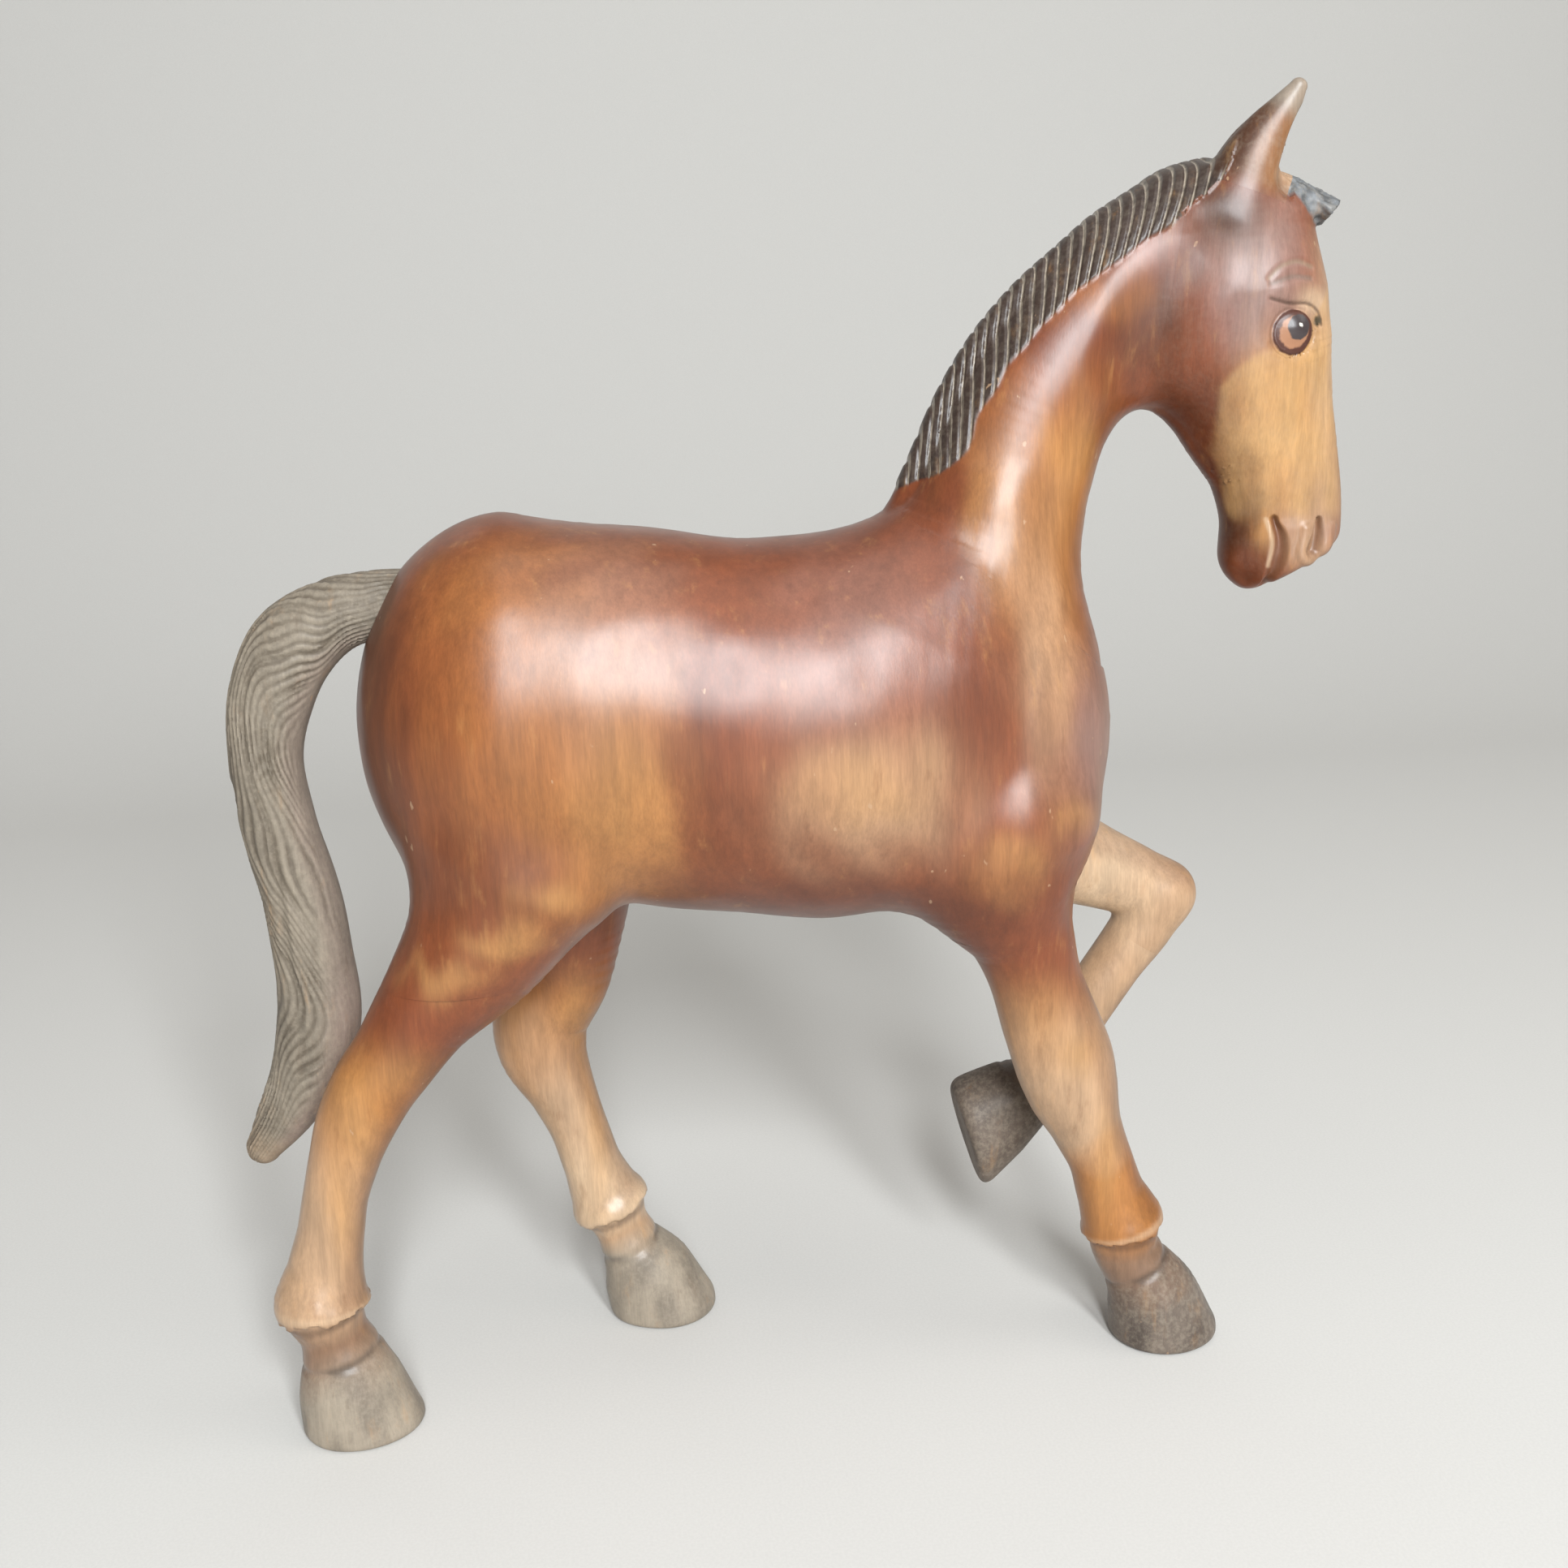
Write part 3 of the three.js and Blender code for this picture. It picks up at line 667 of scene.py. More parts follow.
def ear_work(points):
    """The hollow in the front of each ear."""
    height = np.zeros(len(points))
    for ear in ears.values():
        run, across, up, _, width, depth = ear.locate(points)
        open_side = mound(across / width, 0.72) * ramp(-up / depth, 0.1, 0.7)
        beside = np.hypot(across / width, up / depth) < 1.6
        height -= 2.6 * open_side * ramp(run, 9, 16) * ramp(run, 44, 34) * beside
    return height


MANE_LINE_STEP = 4.3
MANE_LINE_WIDTH = 0.75
MANE_EDGE = -8.5  # the lower edge of the mane, below the middle of its limb


def mane_cover(points):
    """1 on the mane and 0 off it."""
    run, across, up, past, *_ = mane.locate(points)
    near = (np.hypot(across, up) < 24) & (past > -6)
    edge = MANE_EDGE + 0.7 * ripple(points, 16, 6) + 16 * ramp(run, 30, 0)
    return ramp(up, edge - 0.9, edge + 0.9) * ramp(points[:, 0], 164, 160) * ramp(run, 0.5, 4) * near


def mane_comb(points):
    """Where a point lies among the lines cut across the mane, counted in lines, and how strong they are."""
    lean = 0.2 + 0.3 * ramp(points[:, 0], 60, 150)
    middle = np.interp(points[:, 0], mane.line[:, 0], mane.line[:, 2])
    place = points[:, 0] - (points[:, 2] - middle) * lean + 0.35 * ripple(points, 40, 3)
    return place / MANE_LINE_STEP, mane_cover(points) * ramp(points[:, 0], 160, 155)


def mane_work(points):
    place, amount = mane_comb(points)
    gap = np.abs(place % 1 - 0.5) * MANE_LINE_STEP
    lines = mound(gap, MANE_LINE_WIDTH * 1.5) * amount
    return 0.7 * mane_cover(points) - 0.7 * lines


def forelock_work(points):
    """Chip marks over the lock that is cut square at the forehead."""
    _, across, up, past, width, depth = forelock.locate(points)
    on_lock = ramp(np.hypot(across / width, up / depth), 1.5, 1.1) * ramp(np.abs(past), 4, 1)
    strand = np.abs(((across + 1.2 * ripple(points, 14, 8)) / 3.4) % 1 - 0.5) * 3.4
    return on_lock * (0.2 - 0.7 * mound(strand, 1.1) + 0.35 * ripple(points, 4, 5))


CARVED_WAVE = 0.45  # the unevenness of a surface shaped by hand


def hand_waves(points):
    return CARVED_WAVE * (ripple(points, 46, 1) + 0.35 * ripple(points, 17, 2))


# Soft ridges and hollows of the body: the ends of each, in the horse's frame, then its radius and its height.
MUSCLES = (
    ((-84, 58, 222), (-128, 46, 198), 16, 1.6),
    ((-128, 46, 198), (-158, 42, 160), 10, 0.8),
    ((84, 46, 238), (104, 40, 240), 16, 2.2),
    ((72, 44, 214), (92, 40, 205), 12, 1.4),
    ((60, 50, 300), (48, 54, 236), 22, -1.6),
    ((98, 40, 225), (106, 36, 208), 9, -1.0),
    ((-48, 58, 300), (-52, 58, 226), 22, -1.8),
    ((-60, 30, 344), (-100, 34, 340), 26, 1.2),
    ((78, 26, 352), (92, 24, 322), 13, 1.6),
)


def muscle_work(points):
    mirrored = points * (1, 0, 1) + np.abs(points) * (0, 1, 0)
    height = np.zeros(len(points))
    for start, end, radius, rise in MUSCLES:
        start, end = np.array(start, float), np.array(end, float)
        step = end - start
        t = np.clip((mirrored - start) @ step / (step @ step), 0, 1)
        gap = np.linalg.norm(mirrored - start - t[:, None] * step, axis=1)
        height += rise * mound(gap, radius * 1.5)
    return height


# Where each leg's fetlock ends in a ledge, where its hoof begins, and how far the ledge stands out.
LEDGES = {
    "right_hindleg": (right_hind, 10, 12, 0.8),
    "left_hindleg": (left_hind, 9, 11, 0.7),
    "right_foreleg": (right_fore, 10, 12, 0.8),
    "left_foreleg_lower": (cannon, 5, 7, 0.6),
}


def leg_work(name):
    leg, ledge_station, hoof_station, proud = LEDGES[name]
    ledge_at = leg.at_station(ledge_station) + 2
    hoof_at = leg.at_station(hoof_station) - 1

    def worked(points):
        run, across, up, *_ = leg.locate(points)
        around = np.arctan2(across, up)
        ragged = 0.7 * np.sin(around * 5 + 1) + 0.5 * np.sin(around * 13) + 0.4 * ripple(points, 7, 11)
        below = run - ledge_at - ragged
        height = proud * ramp(below, -9, -1) * ramp(below, 0.5, -0.5)
        height -= 0.9 * ramp(below, -0.4, 0.8) * ramp(below, 9, 2)
        height -= 0.75 * mound(run - hoof_at - 0.6 * ripple(points, 15, 12), 2.6)
        return height + 0.6 * hand_waves(points)

    return worked


TAIL_GROOVES = 30  # round the whole tail
GROOVE_DEPTH = 1.1


def tail_comb(points):
    """Where a point lies among the grooves round the tail, counted in grooves, and how strong they are."""
    run, across, up, _, width, depth = tail.locate(points)
    around = np.arctan2(across / width, -up / depth) / (2 * math.pi)
    sway = 0.10 * np.sin(run / 31 + 1) + 0.05 * np.sin(run / 12.5 + around * 9)
    lines = (around + sway + 0.0006 * run) * TAIL_GROOVES
    lines = lines + 0.32 * ripple(points * (1, 1, 0.4), 13, 21)
    inner = ramp(up / depth, 0.55, 0.95) * ramp(run, 30, 60)
    side_smooth = ramp(up / depth, 0.1, 0.5) * ramp(run, 150, 185) * 0.9
    combed = (1 - np.maximum(inner, side_smooth)) * (0.55 + 0.45 * ramp(ripple(points, 26, 23), -0.6, 0.3))
    return lines, combed


def tail_pattern(points):
    """0 on a strand of the tail and 1 in a groove, and how strong the grooves are."""
    lines, combed = tail_comb(points)
    groove = mound(np.abs(lines % 1 - 0.5) * 2, 0.8)
    fork = mound(np.abs((lines * 0.25 + 0.1 * ripple(points, 30, 22)) % 1 - 0.5) * 2, 0.26)
    return np.maximum(groove * 0.7, fork), combed


def tail_work(points):
    groove, combed = tail_pattern(points)
    run, across, up, *_ = tail.locate(points)
    crease = mound(np.abs(up + 4 + 3 * np.sin(run / 24)), 3.4)
    crease = crease * ramp(run, 140, 160) * ramp(np.abs(across), 6, 11)
    return 0.5 * hand_waves(points) - GROOVE_DEPTH * groove * combed - 1.1 * crease * ramp(run, 235, 205)


def trunk_work(points):
    return 0.6 * hand_waves(points) + muscle_work(points)


def neck_work(points):
    return trunk_work(points) + mane_work(points) + face_work(points)


def head_work(points):
    hair = mane_work(points) + forelock_work(points)
    return 0.6 * hand_waves(points) + hair + face_work(points) + ear_work(points)


def on_mane(points):
    return mane_cover(points) > 0.02


def on_face(points):
    forward, side, up = horse_to_head(points)
    near_eye = np.hypot(forward - EYE[0], up - EYE[1]) < 15
    brow = (np.abs(forward - 188) < 12) & (np.abs(up - 429) < 9)
    muzzle = (forward > 180) & (up < 347)
    return (np.abs(side) > 5) & (near_eye | brow | muzzle) | on_mane(points)


# ---- sawing the blocks apart ----
def frame_matrix(at, out, side=(0, 1, 0)):
    """A matrix with its third axis out of a seam, and its second to the side."""
    third = Vector(out).normalized()
    second = Vector(side)
    second = (second - third * second.dot(third)).normalized()
    first = second.cross(third)
    matrix = Matrix((first, second, third)).transposed().to_4x4()
    matrix.translation = Vector(at)
    return matrix


def box_mesh(low, high, matrix=None):
    work = bmesh.new()
    bmesh.ops.create_cube(work, size=1)
    low, high = Vector(low), Vector(high)
    for vertex in work.verts:
        vertex.co = low + Vector((vertex.co + Vector((0.5, 0.5, 0.5))) * (high - low))
    if matrix:
        work.transform(matrix)
    mesh = bpy.data.meshes.new("cutter")
    work.to_mesh(mesh)
    work.free()
    return mesh


def beyond(seam, shift=0, wide=FAR, deep=FAR, side=(0, 1, 0)):
    """All the wood past a seam, or a slab of it."""
    wide_x, wide_y = wide if isinstance(wide, tuple) else (wide, wide)
    low = (-wide_x / 2, -wide_y / 2, shift)
    high = (wide_x / 2, wide_y / 2, shift + deep)
    return box_mesh(low, high, frame_matrix(*seam, side))


def before(seam, shift=0, wide=FAR, deep=FAR):
    at, out = seam
    return beyond((at, tuple(-value for value in out)), -shift, wide, deep)


def hole(at, along, length, diameter):
    work = bmesh.new()
    bmesh.ops.create_cone(
        work,
        cap_ends=True,
        segments=32,
        radius1=diameter / 2 + HOLE_GAP,
        radius2=diameter / 2 + HOLE_GAP,
        depth=length + 2 * HOLE_GAP,
        matrix=frame_matrix(at, along, (0, 1, 0)),
    )
    mesh = bpy.data.meshes.new("hole")
    work.to_mesh(mesh)
    work.free()
    return mesh


def combined(mesh, tools, operation="DIFFERENCE"):
    """The mesh after each tool has cut it, or with what the tools leave of it."""
    target = bpy.data.objects.new("work", mesh)
    bpy.context.scene.collection.objects.link(target)
    others = []
    for tool in tools:
        other = bpy.data.objects.new("tool", tool)
        bpy.context.scene.collection.objects.link(other)
        others.append(other)
        cut = target.modifiers.new("cut", "BOOLEAN")
        cut.operation = operation
        cut.solver = "MANIFOLD"
        cut.object = other
    depsgraph = bpy.context.evaluated_depsgraph_get()
    result = bpy.data.meshes.new_from_object(target.evaluated_get(depsgraph))
    for extra in [target, *others]:
        bpy.data.objects.remove(extra)
    if len(result.polygons) < len(mesh.polygons) / 20:
        raise RuntimeError(f"cutting {mesh.name} left {len(result.polygons)} faces of {len(mesh.polygons)}")
    return result


HALF = GLUE_LINE / 2
holes = {}
for peg_name, (hosts, at, along, size) in DOWELS.items():
    for host in hosts:
        holes.setdefault(host, []).append(hole(at, along, *size))
ear_seams = {}
for ear_name, mirror in (("right_ear", -1), ("left_ear", 1)):
    at = tuple(turned([(*EAR_SEAM[0], 0, 0)], mirror)[0, :3])
    out_x, _, out_z = EAR_SEAM[1]
    out = (out_x * math.cos(HEAD_TURN), -out_x * math.sin(HEAD_TURN), out_z)
    ear_seams[ear_name] = (at, out)
    for host in (ear_name, "head"):
        holes.setdefault(host, []).append(hole(at, out, *EAR_PEG))

blocks = {}


def saw(name, mesh, *tools):
    blocks[name] = combined(mesh, [*tools, *holes.get(name, [])])


tail_room = carve("tail_room", lambda p: tail.field(p) - 0.3, (-196, -20, 270), (-124, 20, 345), 2)
tail_room = combined(tail_room, [beyond(TAIL_SEAM, -HALF, 60, 50)], "INTERSECT")
saw(
    "torso",
    carve("torso", horse_field, (-172, -66, 172), (138, 66, 362), TORSO_CELL, trunk_work),
    beyond(NECK_SEAM, -HALF),
    box_mesh((-FAR, -FAR, -FAR), (HIND_FRONT_X, FAR, LEG_SEAM_Z + HALF)),
    box_mesh((FORE_BACK_X, -FAR, -FAR), (FAR, 0, LEG_SEAM_Z + HALF)),
    combined(
        box_mesh((FORE_BACK_X, 0, 90), (FAR, FAR, 262)), [beyond(FOREARM_SEAM, -HALF)], "INTERSECT"
    ),
    tail_room,
)
saw(
    "neck",
    carve("neck", horse_field, (30, -54, 274), (165, 54, 480), NECK_CELL, neck_work, on_mane),
    before(NECK_SEAM, HALF),
    beyond(HEAD_SEAM, -HALF),
)
ear_blocks = [beyond(seam, -HALF, EAR_ROOM[:2], EAR_ROOM[2], HEAD_SIDE) for seam in ear_seams.values()]
whole_head = carve("head", horse_field, (125, -52, 308), (222, 38, 502), HEAD_CELL, head_work, on_face)
saw("head", whole_head, before(HEAD_SEAM, HALF), *ear_blocks)
for ear_name, seam in ear_seams.items():
    at = seam[0]
    low = np.array(at) - (26, 20, 14)
    high = np.array(at) + (44, 20, 44)
    ear = carve(ear_name, horse_field, low, high, EAR_CELL, head_work)
    ear = combined(ear, [beyond(seam, HALF, EAR_ROOM[:2], EAR_ROOM[2], HEAD_SIDE)], "INTERSECT")
    saw(ear_name, ear)
STANDING = {
    "right_hindleg": ((-225, -58), (HIND_FRONT_X, -HALF)),
    "left_hindleg": ((-150, HALF), (-30, 58)),
    "right_foreleg": ((FORE_BACK_X, -50), (178, -HALF)),
}
for leg_name, (low, high) in STANDING.items():
    leg = carve(leg_name, hoof_field, (*low, 0), (*high, LEG_SEAM_Z + 2), LEG_CELL, leg_work(leg_name))
    room = box_mesh((*low, 0), (*high, LEG_SEAM_Z - HALF))
    saw(leg_name, combined(leg, [room], "INTERSECT"))
saw(
    "left_foreleg_upper",
    carve("left_foreleg_upper", horse_field, (108, HALF, 148), (184, 54, 224), LEG_CELL, trunk_work),
    before(FOREARM_SEAM, HALF),
    beyond(KNEE_SEAM, -HALF),
)
saw(
    "left_foreleg_lower",
    carve(
        "left_foreleg_lower",
        hoof_field,
        (60, HALF, 40),
        (174, 56, 178),
        LEG_CELL,
        leg_work("left_foreleg_lower"),
    ),
    before(KNEE_SEAM, HALF),
    beyond(RAISED_SOLE),
)
saw(
    "tail",
    carve("tail", tail.field, (-228, -20, 94), (-124, 20, 342), TAIL_CELL, tail_work),
    before(TAIL_SEAM, HALF, 50, 30),
)


# ---- stain, with painted shade and highlights: the colour of the wood at each point ----
def tone(red, green, blue):
    """A linear colour from one on a 0 to 255 scale."""
    share = np.array((red, green, blue)) / 255
    return np.where(share <= 0.04045, share / 12.92, ((share + 0.055) / 1.055) ** 2.4)


RED = tone(114, 58, 30)
DEEP_RED = tone(84, 40, 21)
OCHRE = tone(150, 98, 50)
GOLD = tone(172, 126, 74)
BROWN = tone(122, 92, 70)
UMBER = tone(58, 34, 21)
MAUVE = tone(134, 110, 102)
PALE = tone(166, 134, 104)
CREAM = tone(188, 160, 130)
LIME = tone(142, 130, 114)
ASH = tone(96, 84, 74)
SMOKE = tone(58, 48, 42)
MANE_BROWN = tone(44, 35, 30)
MANE_LINE = tone(150, 138, 122)
TAIL_GREY = tone(124, 114, 100)
TAIL_GROOVE = tone(84, 74, 62)
TAIL_INNER = tone(132, 118, 106)

# Where the stain changes on the body, and where shade and highlights are painted into it: a middle and radii
# in the horse's frame with y counted outwards, the tone that it goes to, and how far it goes there.
BODY_STAINS_AND_PAINTED_LIGHT = (
    ((-30, 0, 350), (150, 60, 26), DEEP_RED, 0.5),
    # painted shade: darker under the belly
    ((-10, 20, 200), (90, 60, 24), DEEP_RED, 0.65),
    ((-84, 50, 276), (46, 60, 66), OCHRE, 0.65),
    ((-106, 44, 330), (30, 60, 16), OCHRE, 0.35),
    ((-66, 52, 252), (22, 40, 34), GOLD, 0.45),
    ((-28, 56, 290), (17, 50, 80), RED, 0.8),
    ((-34, 56, 262), (12, 40, 50), DEEP_RED, 0.35),
    ((24, 54, 252), (34, 40, 26), PALE, 0.75),
    ((20, 54, 258), (22, 40, 14), GOLD, 0.4),
    ((22, 50, 312), (32, 50, 36), MAUVE, 0.25),
    ((-68, 54, 318), (26, 50, 36), MAUVE, 0.3),
    # painted shade: darker low on the haunch, above the hind legs
    ((-116, 30, 232), (26, 60, 22), DEEP_RED, 0.6),
    # painted shade: the rump darkened under the tail and round its root
    ((-152, 0, 292), (12, 60, 60), UMBER, 0.55),
    ((-146, 8, 318), (14, 22, 14), UMBER, 0.5),
    # painted shade: darker in the hollow behind the shoulder, at the foot of the neck
    ((64, 44, 306), (14, 60, 60), DEEP_RED, 0.4),
    ((84, 40, 276), (22, 50, 40), RED, 0.5),
    ((100, 32, 330), (14, 40, 52), OCHRE, 0.8),
    ((104, 26, 372), (14, 40, 24), GOLD, 0.5),
    ((76, 28, 350), (12, 30, 40), GOLD, 0.45),
    # painted sheen: paler mauve on the chest where the light falls
    ((112, 20, 262), (18, 50, 34), MAUVE, 0.7),
    # painted highlight: a pale streak down the front of the shoulder
    ((90, 36, 300), (12, 40, 50), PALE, 0.6),
    ((120, 0, 258), (14, 26, 44), OCHRE, 0.35),
    ((100, 30, 240), (14, 26, 8), GOLD, 0.55),
    ((76, 44, 222), (16, 26, 12), GOLD, 0.45),
    # painted shade: darker under the chest, between the forelegs
    ((60, 20, 196), (14, 50, 26), DEEP_RED, 0.6),
    ((98, 22, 410), (16, 30, 12), DEEP_RED, 0.6),
    # painted shade: the neck darkened where it meets the back of the cheek
    ((126, 22, 412), (10, 30, 20), UMBER, 0.45),
    ((116, 22, 424), (20, 30, 8), OCHRE, 0.35),
    ((-92, 46, 221), (12, 24, 7), GOLD, 0.6),
    ((-112, 44, 207), (14, 24, 7), GOLD, 0.65),
    ((-132, 42, 193), (14, 24, 7), GOLD, 0.6),
)
# The same on the head, in its own plane.
FACE_STAINS_AND_PAINTED_LIGHT = (
    ((172, 18, 440), (20, 30, 16), MAUVE, 0.85),
    ((178, 20, 420), (16, 30, 18), MAUVE, 0.7),
    ((166, 22, 416), (10, 30, 14), tone(112, 84, 78), 0.5),
    ((186, 18, 388), (17, 30, 20), GOLD, 0.95),
    ((192, 14, 366), (16, 30, 16), GOLD, 0.7),
    # painted highlight: a pale strip down the front edge of the face
    ((204, 6, 400), (8, 20, 50), CREAM, 0.6),
    ((196, 14, 422), (6, 20, 5), CREAM, 0.7),
    ((196, 14, 404), (6, 20, 6), GOLD, 0.8),
    ((148, 24, 400), (16, 30, 26), RED, 0.75),
    ((152, 26, 384), (16, 30, 12), DEEP_RED, 0.8),
    # painted shade: dark in the groove behind the cheek
    ((140, 24, 418), (10, 30, 26), UMBER, 0.8),
    ((152, 22, 436), (8, 30, 8), DEEP_RED, 0.5),
    ((164, 20, 452), (13, 30, 11), UMBER, 0.85),
    ((166, 20, 366), (8, 30, 22), DEEP_RED, 0.85),
    ((174, 18, 342), (7, 30, 20), UMBER, 0.8),
    ((184, 16, 338), (5, 30, 8), GOLD, 0.7),
    ((200, 14, 334), (12, 30, 14), PALE, 0.8),
    # painted highlight: paler mauve on the front of the nose
    ((206, 10, 352), (7, 24, 16), MAUVE, 0.6),
    ((180, 10, 322), (7, 24, 8), RED, 0.8),
)


# Moves the colour towards each listed tone: stains, and in places painted shade or painted highlight.
def stained(colour, places, stains):
    for middle, radii, to, strength in stains:
        distance = (((places - middle) / radii) ** 2).sum(axis=1)
        colour = colour + (to - colour) * (strength * np.exp(-0.9 * distance**1.3))[:, None]
    return colour


def toward(colour, to, weight):
    return colour + (to - colour) * np.clip(weight, 0, 1)[:, None]


def folded(x, y, z):
    return np.stack([x, np.abs(y), z], axis=1)


def blaze(forward, up):
    """1 where the side of the face is rubbed down to ochre, below and before the eye."""
    rear = np.interp(up, (336, 350, 368, 392, 401), (178, 169, 162, 164, 170))
    top = np.interp(forward, (160, 169, 193, 200, 206), (396, 401, 411, 424, 434))
    return ramp(forward - rear, -1.5, 2.5) * ramp(top - up, -1.5, 2.5) * ramp(up, 338, 350)


def trunk_paint(points):
    """The colour, and how chalky, of the body, the neck and the head."""
    wander = np.stack([ripple(points * (1, 1, 0.4), 15, seed) for seed in (31, 32, 33)], axis=1) * (4, 0, 6)
    moved = points + wander
    colour = np.tile(RED, (len(points), 1))
    colour = stained(colour, folded(*moved.T), BODY_STAINS_AND_PAINTED_LIGHT)
    forward, side, up = horse_to_head(points + 0.35 * wander)
    on_head = ramp(forward, 132, 150) * ramp(up, 300, 330)
    face = stained(colour, folded(forward, side, up), FACE_STAINS_AND_PAINTED_LIGHT)
    rubbed = 0.75 + 0.25 * ripple(points * (1, 1, 0.5), 11, 34)
    face = toward(face, tone(176, 138, 92), 0.75 * rubbed * blaze(forward, up))
    colour = toward(colour, face, on_head)
    chalk = 0.15 * on_head
    hair = mane_cover(points)
    colour = toward(colour, MANE_BROWN, 0.95 * hair)
    _, across, up_lock, past, width, depth = forelock.locate(points)
    lock = ramp(np.hypot(across / width, up_lock / depth), 1.5, 1.15) * ramp(np.abs(past), 4, 1)
    lock = lock * ramp(horse_to_head(points)[0], 174, 180)
    colour = toward(colour, tone(100, 105, 108), 0.95 * lock)
    colour = toward(colour, tone(54, 55, 56), 0.7 * lock * ramp(ripple(points, 4, 5), -0.1, -0.5))
    run, across, up_arm, _, width, depth = forearm.locate(points)
    on_arm = ramp(np.hypot(across / width, up_arm / depth), 1.7, 1.2) * ramp(run, 14, 36)
    left_side = ramp(points[:, 1], 4, 16) * ramp(points[:, 2], 246, 226)
    colour = toward(colour, PALE, 0.95 * on_arm * left_side)
    return face_lines(points, colour), np.maximum(chalk, np.maximum(0.3 * hair, 0.7 * lock))


def face_lines(points, colour):
    """The lines painted and cut round the eyes, and the dark of the mouth and nostrils."""
    forward, side, up = horse_to_head(points)
    flank = ramp(np.abs(side), 5, 9) * ramp(forward, 160, 170)
    for path, width, to, strength in (
        (LID, 0.6, UMBER, 0.7),
        (LOWER_BROW, 1.0, ASH, 0.5),
        (UPPER_BROW, 0.9, tone(128, 112, 92), 0.5),
        (CHIN_HOLLOW, 5, DEEP_RED, 0.5),
    ):
        gap, _ = path_distance(forward, up, path)
        colour = toward(colour, to, strength * flank * mound(gap, width * 1.5))
    gap, share = path_distance(forward, up, NOSTRIL)
    colour = toward(colour, tone(104, 70, 48), 0.85 * flank * mound(gap, 1.5 + 2.4 * share))
    gap, share = path_distance(forward, up, MOUTH)
    colour = toward(colour, tone(104, 64, 42), 0.9 * flank * mound(gap, 1.4 + 2.6 * np.sin(math.pi * share)))
    # painted highlight: a pale line along the lip beside the mouth
    gap, share = path_distance(forward + 2.6, up, MOUTH[:3])
    return toward(colour, CREAM, 0.7 * flank * mound(gap, 1.4))


def ear_paint(name):
    ear = ears[name]

    def paint(points):
        colour, chalk = trunk_paint(points)
        run, across, up, _, width, depth = ear.locate(points)
        round_it = up / depth
        upper = ramp(run, 6, 16)
        turned = round_it + 0.25 * ripple(points, 12, 51)
        # the back of the ear darkened to umber: painted shade
        shaft = toward(np.tile(tone(122, 84, 52), (len(points), 1)), UMBER, 0.9 * ramp(turned, -0.3, 0.6))
        # the pale front edge of the ear: partly a tan edge, partly a painted highlight
        shaft = toward(shaft, PALE, ramp(round_it, -0.6, -0.95) * 0.7 * ramp(run, 12, 20))
        hollow = mound(across / width, 0.6) * ramp(-round_it, 0.2, 0.7)
        shaft = toward(shaft, tone(96, 72, 52), 0.7 * hollow * ramp(run, 10, 18) * ramp(run, 42, 34))
        shaft = toward(shaft, tone(140, 130, 116), 0.85 * ramp(run, 34, 42))
        return toward(colour, shaft, 0.9 * upper), np.maximum(chalk, 0.4 * upper)

    return paint


# How each leg is stained from top to bottom: (the station, the tone there).
LEG_STAINS = {
    "right_hindleg": ((0, RED), (2, RED), (4, OCHRE), (7, PALE), (10, PALE), (11, BROWN), (13, LIME)),
    "left_hindleg": ((0, RED), (2, OCHRE), (5, PALE), (7, CREAM), (9, CREAM), (10, PALE), (11, LIME)),
    "right_foreleg": (
        (0, RED), (2, OCHRE), (5, PALE), (7, PALE), (8, OCHRE), (10, OCHRE), (11, BROWN), (13, ASH)
    ),
    "left_foreleg_upper": ((0, PALE), (2, CREAM), (4, PALE)),
    "left_foreleg_lower": ((0, CREAM), (2, PALE), (5, PALE), (7, ASH), (10, ASH)),
}
# Where each standing leg is worn pale: the middle and the radii of each place.
WORN_LEGS = {
    "right_hindleg": (
        ((-157, 44, 158), (16, 20, 12)),
        ((-172, 42, 134), (9, 20, 20)),
        ((-181, 40, 100), (6, 20, 26)),
    ),
    "left_hindleg": (
        ((-88, 16, 172), (9, 20, 16)),
        ((-88, 18, 146), (8, 20, 20)),
        ((-84, 20, 100), (6, 20, 40)),
    ),
    "right_foreleg": (
        ((92, 40, 168), (9, 20, 22)),
        ((108, 40, 138), (10, 20, 10)),
        ((120, 40, 92), (5, 20, 26)),
    ),
}


